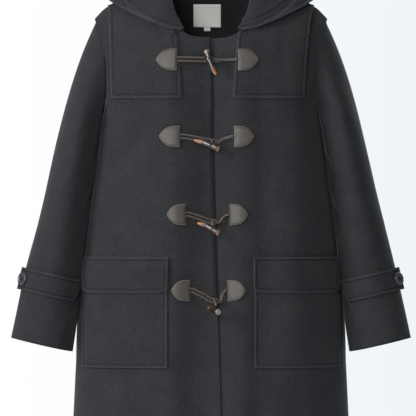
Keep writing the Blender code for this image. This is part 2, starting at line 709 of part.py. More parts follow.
def even_angles(x_inner, x_outer, z, columns):
    """Places across a front that are evenly spaced round its curve."""
    first, last = angle_at(x_inner, z), angle_at(x_outer, z)
    xs = []
    for c in range(columns + 1):
        angle = mix(first, last, c / columns)
        xs.append(on_form(angle, z).x)
    return xs


def pocket(side):
    sign = 1 if side == "left" else -1
    rows, columns = 6, 11
    places = []
    for r in range(rows + 1):
        z = mix(POCKET_BOTTOM, POCKET_TOP, r / rows)
        places.append([(sign * x, z) for x in even_angles(POCKET_INNER, POCKET_OUTER, z, columns)])
    plate(f"pocket_{side}", places, LIFT, CLOTH)


def flap_lift(z):
    """The flap starts on the front and passes over the top of its pocket."""
    return mix(LIFT, LIFT + CLOTH + 0.0009, smooth_step(0.0, 0.011, FLAP_TOP - z))


def pocket_flap(side):
    sign = 1 if side == "left" else -1
    columns = 12 if side == "left" else 13
    depths = (0.0, 0.006, 0.012, 0.028, 0.046, 1.0)
    xs = even_angles(FLAP_INNER, FLAP_OUTER, FLAP_TOP, columns)
    xs[1:1] = [xs[0] + FLAP_CORNER * 0.3]
    xs[-1:-1] = [xs[-1] - FLAP_CORNER * 0.3]
    whole = FLAP_TOP - FLAP_BOTTOM
    places = []
    for depth in reversed(depths):
        row = []
        for x in xs:
            inset = max(FLAP_CORNER - (x - xs[0]), FLAP_CORNER - (xs[-1] - x), 0.0) / FLAP_CORNER
            round_up = FLAP_CORNER * (1 - math.sqrt(1 - min(inset, 0.98) ** 2))
            row.append((sign * x, FLAP_TOP - min(depth, whole - round_up)))
        places.append(row)
    plate(f"pocket_flap_{side}", places, flap_lift, CLOTH)


# ---------------------------------------------------------------- cuff tabs and buttons
def tab_tail(z, along, lift):
    """A point on the straight tail of a cuff tab."""
    base = sleeve_point(TAB_TANGENT_ANGLE, z, lift)
    ahead = (sleeve_point(TAB_TANGENT_ANGLE - 1, z) - sleeve_point(TAB_TANGENT_ANGLE + 1, z)).normalized()
    return base + ahead * along


def cuff_tab(side):
    rows, wrapped, tail = 3, 9, 3
    outer, inner = [], []
    for lift, grid in ((LIFT + CLOTH, outer), (LIFT, inner)):
        for r in range(rows + 1):
            z = mix(TAB_BOTTOM, TAB_TOP, r / rows)
            start = ARM["front_seam"](z) - 2.5
            row = [sleeve_point(mix(start, TAB_TANGENT_ANGLE, c / wrapped), z, lift)
                   for c in range(wrapped + 1)]
            row += [tab_tail(z, TAB_TAIL * c / tail, lift) for c in range(1, tail + 1)]
            grid.append(row)
    wall(f"cuff_tab_{side}", outer, inner, mirror=side == "right")


def cuff_button(side):
    middle = mix(TAB_TOP, TAB_BOTTOM, 0.5)
    foot = tab_tail(middle, BUTTON_ALONG, LIFT + CLOTH)
    axis = (tab_tail(middle, BUTTON_ALONG, 0.01) - tab_tail(middle, BUTTON_ALONG, 0.002)).normalized()
    across = (tab_tail(middle, TAB_TAIL, 0.002) - tab_tail(middle, 0.0, 0.002)).normalized()
    up = axis.cross(across).normalized()
    rim, thick = BUTTON_RADIUS, BUTTON_THICKNESS
    outline = ((0.0, 0.0), (rim * 0.80, 0.0), (rim, thick * 0.40), (rim, thick * 0.70),
               (rim * 0.90, thick), (rim * 0.80, thick), (rim * 0.68, thick * 0.72), (0.0, thick * 0.72))
    sides = 20
    points = [foot + axis * (SEAM + outline[0][1])]
    for radius, height in outline[1:-1]:
        for k in range(sides):
            a = 2 * math.pi * k / sides
            points.append(foot + axis * (SEAM + height) + (across * math.cos(a) + up * math.sin(a)) * radius)
    points.append(foot + axis * (SEAM + outline[-1][1]))
    faces = []
    rings = len(outline) - 2
    for k in range(sides):
        n = (k + 1) % sides
        faces.append((0, 1 + k, 1 + n))
        for ring in range(rings - 1):
            a = 1 + ring * sides
            faces.append((a + k, a + n, a + n + sides, a + k + sides))
        top = 1 + (rings - 1) * sides
        faces.append((top + k, top + n, len(points) - 1))
    if side == "right":
        points = [Vector((-p.x, p.y, p.z)) for p in points]
    solid(f"cuff_button_{side}", points, faces, BUTTON_GREY, 0.4)


# ---------------------------------------------------------------- toggle fastenings
def patch(name, edge_x, z, outward):
    """A pointed leather patch with its straight edge towards the centre."""
    rows, columns = 6, 4
    places = []
    for r in range(rows + 1):
        u = 1 - (1 - r / rows) ** 1.5
        half = max(PATCH_HALF_HEIGHT * (1 - u ** 3.6) ** 0.85, 0.0006)
        places.append([(edge_x + outward * PATCH_LENGTH * u, z + half * (2 * c / columns - 1))
                       for c in range(columns + 1)])
    on_yoke = z > YOKE_BOTTOM
    lift = LIFT + (CLOTH + LIFT if on_yoke else 0.0)
    plate(name, places, lift, LEATHER, PATCH_BROWN, 0.55)
    return lift


def tube(name, route, diameter, colour):
    """A cord along a route of points."""
    line = bpy.data.curves.new(name, "CURVE")
    line.dimensions = "3D"
    spline = line.splines.new("POLY")
    spline.points.add(len(route) - 1)
    for point, place in zip(spline.points, route):
        point.co = (*place, 1.0)
    line.bevel_depth = diameter / 2
    line.bevel_resolution = 2
    line.use_fill_caps = True
    cord = bpy.data.objects.new(name, line)
    bpy.context.collection.objects.link(cord)
    line.materials.append(finish(name, colour, 0.5))
    return cord


def spread(route, offset):
    """A route moved sideways in the plane of the front."""
    moved = []
    for i, point in enumerate(route):
        ahead = route[min(i + 1, len(route) - 1)] - route[max(i - 1, 0)]
        moved.append(point + level_side(ahead) * offset)
    return moved


def loop_middle(row, lift):
    """Middle line of a loop, as x, z and height, from its patch to the centre of its end."""
    end_x, end_z = row.join[0] - LOOP_PITCH / 2, row.join[1]
    start = row.loop_edge + CORD_GAP
    low = lift + LOOP_DIAMETER / 2
    fall = end_z - row.z
    return curve_through([
        Vector((start, row.z, low)),
        Vector((start + 0.004, row.z, low)),
        Vector((mix(start, end_x, 0.55), row.z + fall * 0.50, 0.0050 + lift / 2)),
        Vector((end_x - 0.012, row.z + fall * 0.84, LOOP_HEIGHT)),
        Vector((end_x, end_z, LOOP_HEIGHT)),
    ], 9)


def level_side(ahead):
    """The direction square to another in the plane of the front."""
    return Vector((-ahead.y, ahead.x, 0.0)).normalized()


def toggle_loop(number, row, lift):
    """The loop on the top front: out along one strand, round its end and back."""
    middle = loop_middle(row, lift)
    upper, lower = spread(middle, LOOP_PITCH / 2), spread(middle, -LOOP_PITCH / 2)
    ahead = (middle[-1] - middle[-2]).normalized()
    side = level_side(ahead)
    bend = []
    for k in range(1, 6):
        turn = math.pi / 2 - math.pi * k / 6
        bend.append(middle[-1] + (ahead * math.cos(turn) + side * math.sin(turn)) * (LOOP_PITCH / 2))
    tube(f"toggle_loop_{number}", [over_point(p) for p in upper + bend + lower[::-1]],
         LOOP_DIAMETER, CORD_BROWN)


def horn_line(row):
    """The ends of a toggle's axis, and the direction in which it bows."""
    butt = over_point((*row.butt, row.butt_out))
    tip = over_point((*row.tip, row.tip_out))
    bow = (tip - butt).cross(Vector((0, -1, 0))).normalized()
    return butt, tip, bow


def horn_middle(row, along):
    butt, tip, bow = horn_line(row)
    return butt.lerp(tip, along) + bow * (HORN_BOW * 4 * along * (1 - along))


def toggle_cord(number, row, lift):
    """The cord that carries the toggle: under the end of the loop, up through it and to the horn."""
    join = Vector((*row.join, CORD_LOW))
    end = loop_middle(row, lift)
    back_way = (end[-2] - end[-1])
    back_way.z = 0
    back_way.normalize()
    start = row.cord_edge - CORD_GAP
    low = tuck(start) + lift + CORD_DIAMETER / 2
    over = LOOP_HEIGHT + (LOOP_DIAMETER + CORD_DIAMETER) / 2 + 0.0008
    waist = horn_middle(row, WAIST)
    reach = HORN_RADIUS(WAIST) + (0.0005 if row.butt_out < 0.03 else 0.0014)
    below = Vector((0, 1, 0)) if row.butt_out < 0.03 else Vector((0, 0.35, 1)).normalized()
    inside = join + back_way * 0.0060
    aside = level_side(back_way)
    if aside.y > 0:
        aside = -aside
    route = [
        (start, row.z, low), (start - 0.004, row.z, low),
        (mix(start, join.x, 0.55), mix(row.z, join.y, 0.45), mix(low, CORD_LOW, 0.6)),
        join - back_way * 0.004, join + back_way * 0.0030,
        inside + aside * 0.0004 + Vector((0, 0, 0.0024)),
        inside + back_way * 0.0006 + aside * 0.0010 + Vector((0, 0, over - CORD_LOW)),
    ]
    places = [over_point(p) for p in route]
    places += [waist + below * (reach + 0.0030), waist + below * reach]
    tube(f"toggle_cord_{number}", curve_through(places, 22), CORD_DIAMETER, CORD_BROWN)


def toggle(number, row):
    """A horn: a bowed, tapering peg with a blunt butt and a pointed tip."""
    butt, tip, bow = horn_line(row)
    outward = bow.cross((tip - butt).normalized())
    points = []
    for level in HORN:
        for k in range(HORN_SIDES):
            turn = 2 * math.pi * k / HORN_SIDES
            reach = (bow * math.cos(turn) + outward * math.sin(turn)) * level.radius
            points.append(horn_middle(row, level.along) + reach)
    faces = [tuple(range(HORN_SIDES)), tuple(range(len(points) - HORN_SIDES, len(points)))]
    for ring in range(len(HORN) - 1):
        for k in range(HORN_SIDES):
            low, high = ring * HORN_SIDES + k, ring * HORN_SIDES + (k + 1) % HORN_SIDES
            faces.append((low, high, high + HORN_SIDES, low + HORN_SIDES))
    solid(f"toggle_{number}", points, faces, HORN_BROWN, 0.3)


def fastenings():
    for number, row in enumerate(TOGGLES, start=1):
        loop_lift = patch(f"patch_right_{number}", row.loop_edge, row.z, -1)
        cord_lift = patch(f"patch_left_{number}", row.cord_edge, row.z, 1)
        toggle_loop(number, row, loop_lift)
        toggle_cord(number, row, cord_lift)
        toggle(number, row)


# ---------------------------------------------------------------- neck label
def neck_piece(name, x_middle, width, top, bottom):
    """A flat label on the inner side of the back."""
    rows, columns = 3, 5
    outer, inner = [], []
    for r in range(rows + 1):
        z = mix(bottom, top, r / rows)
        out, ins = [], []
        for c in range(columns + 1):
            angle = -angle_at(x_middle + width * (c / columns - 0.5), z)
            form, normal = on_form(angle, z), form_normal(angle, z)
            out.append(form - normal * (CLOTH + LIFT))
            ins.append(form - normal * (CLOTH + LIFT + LABEL_CLOTH))
        outer.append(out)
        inner.append(ins)
    wall(name, outer, inner, LABEL_WHITE, 0.8)


def main():
    for thing in list(bpy.data.objects):
        bpy.data.objects.remove(thing)
    front("front_left", is_under=True)
    front("front_right", is_under=False)
    back("back")
    for side in ("left", "right"):
        yoke(side)
        sleeve(side)
        hood(side)
        pocket(side)
        pocket_flap(side)
        cuff_tab(side)
        cuff_button(side)
    fastenings()
    neck_piece("neck_label", LABEL_X, LABEL_WIDTH, LABEL_TOP, LABEL_BOTTOM)
    neck_piece("size_tab", LABEL_X, SIZE_TAB_WIDTH, LABEL_BOTTOM - SEAM, SIZE_TAB_BOTTOM)


main()
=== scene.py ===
"""Dresses the hooded duffle coat: milled wool, leather patches, twisted cords and horn toggles."""
import math
from collections import namedtuple

import bmesh
import bpy
import numpy as np
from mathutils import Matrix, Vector, noise
from mathutils.kdtree import KDTree


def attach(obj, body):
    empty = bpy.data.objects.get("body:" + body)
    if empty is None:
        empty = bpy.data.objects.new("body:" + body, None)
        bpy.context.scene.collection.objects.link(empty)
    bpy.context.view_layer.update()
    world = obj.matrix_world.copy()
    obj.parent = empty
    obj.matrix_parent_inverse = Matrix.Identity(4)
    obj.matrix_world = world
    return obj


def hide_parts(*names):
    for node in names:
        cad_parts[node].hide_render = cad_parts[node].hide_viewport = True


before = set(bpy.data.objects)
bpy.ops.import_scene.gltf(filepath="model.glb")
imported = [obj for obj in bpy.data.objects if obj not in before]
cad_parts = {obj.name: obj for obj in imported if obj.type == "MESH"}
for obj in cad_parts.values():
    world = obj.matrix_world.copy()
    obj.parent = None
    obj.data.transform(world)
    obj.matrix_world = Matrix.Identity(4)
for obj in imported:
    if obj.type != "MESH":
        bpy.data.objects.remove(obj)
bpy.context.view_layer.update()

bl_info = {
    "name": "Duffle Coat",
    "version": (1, 0, 0),
    "blender": (4, 5, 0),
    "location": "3D View > Sidebar > Coat",
    "description": "Dresses the packed coat with cloth, stitching, leather, cords and horn",
    "category": "Object",
}

SIDES = ("left", "right")
ROWS = (1, 2, 3, 4)
MERGE = 0.00001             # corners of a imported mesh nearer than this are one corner
CUT_EDGE = 50.0             # degrees between two faces of a wall at a cut edge, at the least
BORDER_STEP = 0.001         # spacing of the points that stand for a cut edge
OUTWARD = 0.3               # how squarely a place has to face outwards to be stitched

# What a maker cuts for each piece, as width and length in metres, and the area of the shaped cut.
Cut = namedtuple("Cut", "width length area")

# Soft folds of the cloth. Each runs from its top place to its bottom place on the front or back,
# in metres. Width is half its breadth, and a positive rise stands out.
Fold = namedtuple("Fold", "side x_top z_top x_bottom z_bottom width rise")
FOLDS = (
    Fold("front", -0.006, 0.160, -0.004, -0.700, 0.030, -0.0100),
    Fold("front", -0.066, 0.050, -0.072, -0.700, 0.019, 0.0042),
    Fold("front", 0.048, 0.050, 0.050, -0.620, 0.016, 0.0036),
    Fold("front", -0.022, -0.074, -0.012, -0.104, 0.010, 0.0022),
    Fold("front", 0.098, -0.02, 0.090, -0.62, 0.022, -0.0058),
    Fold("front", 0.146, -0.05, 0.156, -0.56, 0.024, 0.0048),
    Fold("front", 0.128, -0.05, 0.122, -0.17, 0.012, -0.0014),
    Fold("front", -0.084, -0.008, -0.066, -0.105, 0.010, 0.0022),
    Fold("front", -0.150, -0.20, -0.168, -0.46, 0.030, -0.0026),
    Fold("front", -0.112, -0.21, -0.120, -0.44, 0.028, 0.0020),
    Fold("front", -0.040, -0.60, -0.050, -0.95, 0.022, -0.0034),
    Fold("front", -0.115, -0.68, -0.130, -0.95, 0.032, 0.0034),
    Fold("front", 0.062, -0.58, 0.066, -0.95, 0.018, 0.0030),
    Fold("front", 0.150, -0.68, 0.162, -0.95, 0.030, -0.0034),
    Fold("front", -0.192, -0.66, -0.214, -0.95, 0.024, -0.0030),
    Fold("back", 0.060, -0.30, 0.075, -0.95, 0.030, 0.0042),
    Fold("back", 0.120, -0.42, 0.142, -0.95, 0.026, -0.0040),
    Fold("back", 0.004, -0.38, -0.006, -0.95, 0.026, -0.0036),
    Fold("back", -0.066, -0.34, -0.084, -0.95, 0.030, 0.0040),
    Fold("back", -0.136, -0.46, -0.156, -0.95, 0.024, -0.0036),
    Fold("back", -0.170, -0.10, -0.130, -0.24, 0.018, -0.0028),
    Fold("back", 0.172, -0.10, 0.128, -0.26, 0.018, -0.0030),
)
# A fold sways about its line. It starts at the first share of its width and gains the second by its
# bottom place, is fully deep at the third of its way, and stops at the fourth.
SWAY, SWAY_TURN, SWAY_START = 0.006, 5.0, 40.0
FOLD_START, FOLD_GAIN, FOLD_EASE, FOLD_END = 0.7, 0.5, 0.6, 1.25
FOLD_SIDEWAYS = 0.35        # share of a place's x in the direction in which its folds stand out
SIDE_FLAT = 0.05            # distance from the side seams within which the folds fade out
RIPPLE = 0.0010             # slow unevenness of the cloth between its folds
# The body's sides stand out a little beside the arms: how far, how broadly from front to back, and
# where that starts and ends, as a height and the length of the fade.
FLANK, FLANK_BREADTH = 0.0030, 0.045
FLANK_TOP, FLANK_BOTTOM = (-0.28, -0.08), (-0.66, 0.06)
# Creases of the sleeves: height of the middle, how far it climbs round the arm, its breadth and rise.
# Turn is where it is deepest, in degrees from the outer side towards the front.
Crease = namedtuple("Crease", "side z climb turn spread width rise")
CREASES = (
    Crease("left", -0.300, 0.040, 150, 55, 0.016, -0.0030),
    Crease("left", -0.345, 0.030, 165, 50, 0.014, 0.0022),
    Crease("left", -0.395, 0.045, 140, 45, 0.013, -0.0026),
    Crease("left", -0.215, 0.050, 110, 40, 0.016, -0.0022),
    Crease("left", -0.455, -0.030, 175, 45, 0.014, -0.0020),
    Crease("left", -0.360, -0.050, 270, 60, 0.018, -0.0026),
    Crease("left", -0.430, 0.036, 255, 55, 0.014, 0.0022),
    Crease("right", -0.285, 0.050, 145, 50, 0.015, -0.0026),
    Crease("right", -0.335, 0.036, 160, 55, 0.015, 0.0024),
    Crease("right", -0.380, 0.030, 150, 45, 0.012, -0.0028),
    Crease("right", -0.225, 0.046, 115, 38, 0.014, -0.0020),
    Crease("right", -0.470, -0.036, 170, 50, 0.016, -0.0020),
    Crease("right", -0.345, -0.046, 262, 60, 0.016, -0.0024),
    Crease("right", -0.415, 0.040, 250, 55, 0.015, 0.0020),
)
SLEEVE_TOP, SLEEVE_BOTTOM = (0.236, -0.240), (0.307, -0.632)      # x and z of the arm's middle line
SLEEVE_DEPTH = -0.012       # y of that line
SLEEVE_RIPPLE = 0.0016      # slow unevenness of a sleeve
CREASE_REACH = 3            # a crease is left out farther off than this many of its widths
CREASE_TOP, CREASE_BOTTOM = (-0.15, -0.06), (-0.60, 0.05)         # a height and the fade's length
# A sleeve leans towards the body: how far, at which turn and over how many degrees, and from where.
LEAN, LEAN_TURN, LEAN_SPREAD, LEAN_TOP = 0.0048, 180.0, 48.0, (-0.20, -0.10)

# Stitch lines: how far they run inside a piece's edge, in metres.
STITCH_INSET = {"yoke": (0.0070,), "pocket": (0.0065,), "pocket_flap": (0.0065,), "cuff_tab": (0.0060,),
                "hood": (0.0065, 0.0130), "patch": (0.0022,), "neck_label": (0.0022,)}
# Length, breadth and height of a stitch, of a fine one and of a bar of thread on a button.
STITCH_SIZE, FINE_STITCH = (0.0028, 0.0008, 0.0005), (0.0020, 0.0006, 0.0004)
THREAD_BAR = (0.0072, 0.0010, 0.0009)
PATCH_PITCH, LABEL_PITCH = 0.0030, 0.0032   # distance between the stitches of a patch and of the label
RUN_START = 0.0004          # where the first stitch of a line lies
# A stitch is a low arch with a foot under each end. A row of its form gives two points, one to each
# side, as shares of its length, breadth and height. Its faces name the points, all facing outwards.
StitchRow = namedtuple("StitchRow", "along wide high")
STITCH_FORM = (StitchRow(-0.5, 0.30, -0.2), StitchRow(-0.22, 0.5, 0.9), StitchRow(0.22, 0.5, 0.9),
               StitchRow(0.5, 0.30, -0.2), StitchRow(-0.5, 0.30, -0.9), StitchRow(0.5, 0.30, -0.9))
STITCH_FACES = ((0, 2, 3, 1), (2, 4, 5, 3), (4, 6, 7, 5), (8, 9, 11, 10), (0, 1, 9, 8),
                (6, 10, 11, 7), (0, 8, 10, 6, 4, 2), (1, 3, 5, 7, 11, 9))
SEAM_ZONE, SEAM_MEET = 0.0006, 0.00035      # how near a seam, and how far its cloth is let out
# A turned edge: how far it is rounded off, puffed up inside and sunk at its stitch line, and how
# broadly. The puff's place and breadth are shares of the line's distance from the edge.
ROUND_OFF, ROUND_BREADTH = 0.0010, 0.0014
PUFF, PUFF_AT, PUFF_BREADTH = 0.0011, 0.45, 0.30
SINK, SINK_BREADTH = 0.0011, 0.0015
# How a topstitched edge tints the wool, from the edge itself to twice the stitch line's distance: paler at
# the edge, partly rubbed wear and partly a painted highlight, and a painted shade along the sunk stitch
# line.
EDGE_RUB_AND_PAINTED_SHADE = ((0.0, 1.7), (0.13, 1.4), (0.24, 1.1), (0.40, 1.0), (0.48, 0.58), (0.53, 0.58),
               (0.62, 1.08), (0.85, 1.0))

# The hood: its rim is farther than this from the neck's middle, and its centre seam nearer to x = 0.
RIM_FROM, CENTRE_SEAM = 0.1125, 0.0005
ROLL, ROLL_AT, ROLL_BREADTH = 0.0012, 0.0185, 0.0030        # the soft roll inside the rim's stitches
RIM_SINK, RIM_SINK_BREADTH = 0.0008, 0.0016                 # how far those stitches sink
HOOD_WAVE, HOOD_FLAT, HOOD_FLAT_MIDDLE = 0.0022, (0.10, 0.03), 0.02
# The storm flaps: the seam at the top of each, and the stitched edges beside it.
YOKE_SEAM, YOKE_OUTER, YOKE_INNER = -0.081, 0.177, {"left": 0.0505, "right": 0.0620}
LIFT, LIFT_Z, LIFT_X = 0.0075, (-0.100, 0.022), (0.067, -0.012)     # the left one's inner corner

# Patches, buttons and toggles.
SHORT_PATCH = 0.88          # length of a lower patch beside an upper one
PATCH_ROUND, PATCH_BREADTH = 0.0005, 0.0010                 # how far a patch's edge is rounded off
HOLES, HOLE_AT, HOLE_RADIUS, HOLE_DEPTH = 4, 0.0032, 0.0011, 0.012
THREAD_RISE, THREAD_REACH, THREAD_BACK = 0.0011, 0.0034, 0.02
WAIST, WAIST_AT, WAIST_BREADTH = 0.0007, 0.30, 0.035        # the ring that the cord sits in
HORN_GRAIN, HORN_ROUGH = 220.0, 0.00025

# Cords: spacing of the rings, sides of a ply, and a ply's radius and place as shares of the cord's.
CORD_STEP, PLY_SIDES, PLY_RADIUS, PLY_OFF = 0.0009, 8, 0.56, 0.46
CORD_FREE = (0.016, 0.022)                  # nearer the middle than this, a cord hangs free
TAPER, TAPER_FROM = 0.36, (0.25, 0.35)      # how a toggle cord narrows along its length
CLOSER, BEND_PART = 0.34, 0.35              # how a loop's strands draw together, but for its bend

# The studio: each lamp's place, share of the key light's power, size and the place it aims at.
Lamp = namedtuple("Lamp", "name place share size aim")
LAMPS = (
    Lamp("key", (-3.4, -2.3, 1.1), 1.0, 1.8, (0.0, 0.0, -0.35)),
    Lamp("front", (-0.9, -4.6, 0.5), 0.72, 1.2, (0.0, 0.0, -0.3)),
    Lamp("top", (-0.4, -0.9, 3.0), 0.20, 2.0, (0.0, 0.0, -0.3)),
    Lamp("rear", (0.8, 3.4, 1.0), 0.60, 2.4, (0.0, 0.0, -0.4)),
)
FLOOR_RADIUS, FLOOR_SIDES = 2.2, 96
SENSOR, FARTHEST = 36.0, 60.0               # the camera's film in mm, and how far it sees in metres
VIEW_X, VIEW_Z, COAT_FRONT = -0.0054, -0.3852, 0.065        # the picture's middle, and the front's depth


# ---------------------------------------------------------------- the sizes and colours a user sets
def colour_choice(name, description, hex_code):
    """A colour that a user can change, from its sRGB hex value."""
    return bpy.props.FloatVectorProperty(name=name, description=description, subtype="COLOR", size=4,
                                         min=0.0, max=1.0, default=linear(hex_code))


def length_choice(name, description, default, low, high):
    """A length in metres that a user can change."""
    return bpy.props.FloatProperty(name=name, description=description, default=default, min=low, max=high,
                                   unit="LENGTH")


def linear(hex_code):
    """Turns an sRGB hex value into a linear colour."""
    values = [int(hex_code[i:i + 2], 16) / 255 for i in (1, 3, 5)]
    return (*[v / 12.92 if v <= 0.04045 else ((v + 0.055) / 1.055) ** 2.4 for v in values], 1.0)


class CoatCloth(bpy.types.PropertyGroup):
    light_wool: colour_choice("Light wool", "The paler fibres of the cloth", "#292A2C")
    dark_wool: colour_choice("Dark wool", "The darker fibres of the cloth", "#181A1C")
    thread: colour_choice("Thread", "Sewing thread of the wool pieces", "#1E2022")
    label: colour_choice("Label", "Woven label cloth", "#F6F6F1")
    fibre: length_choice("Fibre fleck", "Breadth of the flecks in the nap", 0.0016, 0.0005, 0.01)
    fold_share: bpy.props.FloatProperty(name="Fold depth", description="Share of each fold's full rise",
                                        default=1.0, min=0.0, max=1.5, subtype="FACTOR")
    stitch_pitch: length_choice("Stitch pitch", "Distance between stitches", 0.0040, 0.002, 0.01)


class CoatTrim(bpy.types.PropertyGroup):
    leather: colour_choice("Leather", "Toggle patches", "#403C38")
    leather_worn: colour_choice("Worn leather", "Rubbed places of the patches", "#5A534D")
    cord: colour_choice("Cord", "Twisted cords", "#473F39")
    horn: colour_choice("Horn", "Dark middle of a toggle", "#241A15")
    horn_tip: colour_choice("Horn tip", "Amber ends of a toggle", "#7A5434")
    button: colour_choice("Button", "Cuff buttons", "#33353A")
    ply: length_choice("Ply pitch", "Length of one full twist of a cord", 0.0085, 0.003, 0.03)


class CoatStage(bpy.types.PropertyGroup):
    floor_drop: length_choice("Floor", "Height of the floor under the neck", -1.30, -3.0, -0.91)
    distance: length_choice("Camera distance", "From the coat's front", 12.0, 2.0, 30.0)
    picture: length_choice("Picture width", "Width that the camera sees", 0.749, 0.2, 3.0)
    room_light: bpy.props.FloatProperty(name="Room light", description="Share of the pale room's light "
                                        "that falls on the coat", default=0.30, min=0.0, max=1.0,
                                        subtype="FACTOR")
    key: bpy.props.FloatProperty(name="Key light", description="Power of the soft light from the left",
                                 default=172.0, min=0.0, max=3000.0, unit="POWER")


# ---------------------------------------------------------------- helpers for meshes
def fade(value, start, reach):
    """0 up to start, rising to 1 over the reach. With a negative reach it rises the other way."""
    return min(1.0, max(0.0, (value - start) / reach))


def bell(off, breadth):
    """A smooth hump of height 1 that has died away at about twice its breadth."""
    return math.exp(-(off / breadth) ** 2)


def clear_selection():
    """Deselects everything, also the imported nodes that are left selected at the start."""
    for thing in list(bpy.context.selected_objects):
        thing.select_set(False)


def make_active(thing):
    """Selects one object alone, for the operators that follow."""
    clear_selection()
    thing.select_set(True)
    bpy.context.view_layer.objects.active = thing


def copy_of_node(node, name):
    """A mesh copy of a CAD node with its loose triangles merged and paired into quads."""
    work = bmesh.new()
    work.from_mesh(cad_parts[node].data)
    bmesh.ops.remove_doubles(work, verts=work.verts, dist=MERGE)
    bmesh.ops.join_triangles(work, faces=work.faces, angle_face_threshold=math.radians(20),
                             angle_shape_threshold=math.radians(50))
    mesh = bpy.data.meshes.new(name)
    work.to_mesh(mesh)
    work.free()
    piece = bpy.data.objects.new(name, mesh)
    bpy.context.scene.collection.objects.link(piece)
    return piece


def mesh_piece(name, points, faces, material):
    """A new piece from points and faces, with its closed parts facing outwards."""
    mesh = bpy.data.meshes.new(name)
    mesh.from_pydata(points, [], faces)
    work = bmesh.new()
    work.from_mesh(mesh)
    bmesh.ops.recalc_face_normals(work, faces=work.faces)
    work.to_mesh(mesh)
    work.free()
    mesh.materials.append(material)
    piece = bpy.data.objects.new(name, mesh)
    bpy.context.scene.collection.objects.link(piece)
    return piece


def give_surface(piece, material, sharp_angle):
    """Gives a piece one material, shaded smooth but for edges sharper than an angle in degrees."""
    piece.data.materials.clear()
    piece.data.materials.append(material)
    piece.data.shade_smooth()
    piece.data.set_sharp_from_angle(angle=math.radians(sharp_angle))


def rounded_grid(piece, levels, keep_angle=CUT_EDGE):
    """Subdivides a wall smoothly, with its cut edges kept, and applies it."""
    work = bmesh.new()
    work.from_mesh(piece.data)
    crease = work.edges.layers.float.get("crease_edge") or work.edges.layers.float.new("crease_edge")
    for edge in work.edges:
        if len(edge.link_faces) == 2 and edge.calc_face_angle(0.0) > math.radians(keep_angle):
            edge[crease] = 1.0
    work.to_mesh(piece.data)
    work.free()
    make_active(piece)
    modifier = piece.modifiers.new("round", "SUBSURF")
    modifier.levels = modifier.render_levels = levels
    bpy.ops.object.modifier_apply(modifier=modifier.name)


def meet_at_seam(piece, node):
    """Lets the two cloths of a side, shoulder or hood seam meet, where their solids stand apart."""
    for vertex in piece.data.vertices:
        place = vertex.co
        if node.startswith("hood"):
            if abs(place.x) < SEAM_ZONE:
                place.x -= SEAM_MEET if node.endswith("left") else -SEAM_MEET
        elif abs(place.y) < SEAM_ZONE * 2:
            place.y += SEAM_MEET if node.startswith("front") else -SEAM_MEET


def edge_distances(piece, wanted=None):
    """How far each point of a wall is from its cut edges, or from those that are wanted."""
    work = bmesh.new()
    work.from_mesh(piece.data)
    points = []
    for edge in work.edges:
        if len(edge.link_faces) == 2 and edge.calc_face_angle(0.0) > math.radians(CUT_EDGE):
            a, b = (v.co for v in edge.verts)
            if wanted and not (wanted(a) and wanted(b)):
                continue
            steps = max(2, int((b - a).length / BORDER_STEP))
            points += [a.lerp(b, k / steps) for k in range(steps + 1)]
    work.free()
    tree = KDTree(len(points))
    for i, point in enumerate(points):
        tree.insert(point, i)
    tree.balance()
    return np.array([tree.find(v.co)[2] for v in piece.data.vertices])


def store(piece, name, values):
    """Keeps a number for each point, for the piece's material to read."""
    layer = piece.data.attributes.new(name, "FLOAT", "POINT")
    layer.data.foreach_set("value", np.asarray(values, dtype=np.float32))


def fold_move(point):
    """How far the folds carry a point of the body, as a vector."""
    side = "front" if point.y < 0 else "back"
    share = bpy.context.scene.coat_cloth.fold_share
    total = 0.0
    for fold in FOLDS:
        along = (fold.z_top - point.z) / (fold.z_top - fold.z_bottom)
        if fold.side != side or not 0.0 < along < FOLD_END:
            continue
        middle = fold.x_top + (fold.x_bottom - fold.x_top) * along
        middle += SWAY * math.sin(along * SWAY_TURN + fold.x_top * SWAY_START)
        ease = math.sin(min(along, FOLD_EASE) / FOLD_EASE * math.pi / 2)
        total += fold.rise * ease * bell(point.x - middle, fold.width * (FOLD_START + FOLD_GAIN * along))
    ripple = noise.noise(Vector((point.x * 14, point.y * 10, point.z * 6))) * RIPPLE
    away = Vector((point.x * FOLD_SIDEWAYS, point.y, 0.0)).normalized()
    level = fade(point.z, *FLANK_TOP) * fade(point.z, *FLANK_BOTTOM)
    flank = Vector((math.copysign(FLANK, point.x), 0.0, 0.0)) * (bell(point.y, FLANK_BREADTH) * level)
    flank *= fade(abs(point.x), 0.0, SIDE_FLAT)
    return away * (total * share + ripple) * fade(abs(point.y), 0.0, SIDE_FLAT) + flank


def arm_frame(point):
    """The way out to a point from a sleeve's middle line, and the point's turn round that line."""
    hand = 1.0 if point.x > 0 else -1.0
    along = (point.z - SLEEVE_TOP[1]) / (SLEEVE_BOTTOM[1] - SLEEVE_TOP[1])
    reach = SLEEVE_TOP[0] + (SLEEVE_BOTTOM[0] - SLEEVE_TOP[0]) * along
    out = point - Vector((hand * reach, SLEEVE_DEPTH, point.z))
    turn = math.degrees(math.atan2(-out.y, out.x * hand)) % 360.0
    return out, turn


def crease_move(point):
    """How far the creases and its lean carry a point of a sleeve."""
    out, turn = arm_frame(point)
    side = "left" if point.x > 0 else "right"
    total = noise.noise(Vector((point.x * 12, point.y * 12, point.z * 9))) * SLEEVE_RIPPLE
    for crease in CREASES:
        if crease.side != side:
            continue
        off = (turn - crease.turn + 180.0) % 360.0 - 180.0
        middle = crease.z + crease.climb * off / crease.spread
        across = (point.z - middle) / crease.width
        if abs(across) <= CREASE_REACH:
            total += crease.rise * bell(across, 1.0) * bell(off, crease.spread)
    level = fade(point.z, *CREASE_TOP) * fade(point.z, *CREASE_BOTTOM)
    lean = LEAN * bell(turn - LEAN_TURN, LEAN_SPREAD) * fade(point.z, *LEAN_TOP)
    return out.normalized() * (total * bpy.context.scene.coat_cloth.fold_share * level + lean)


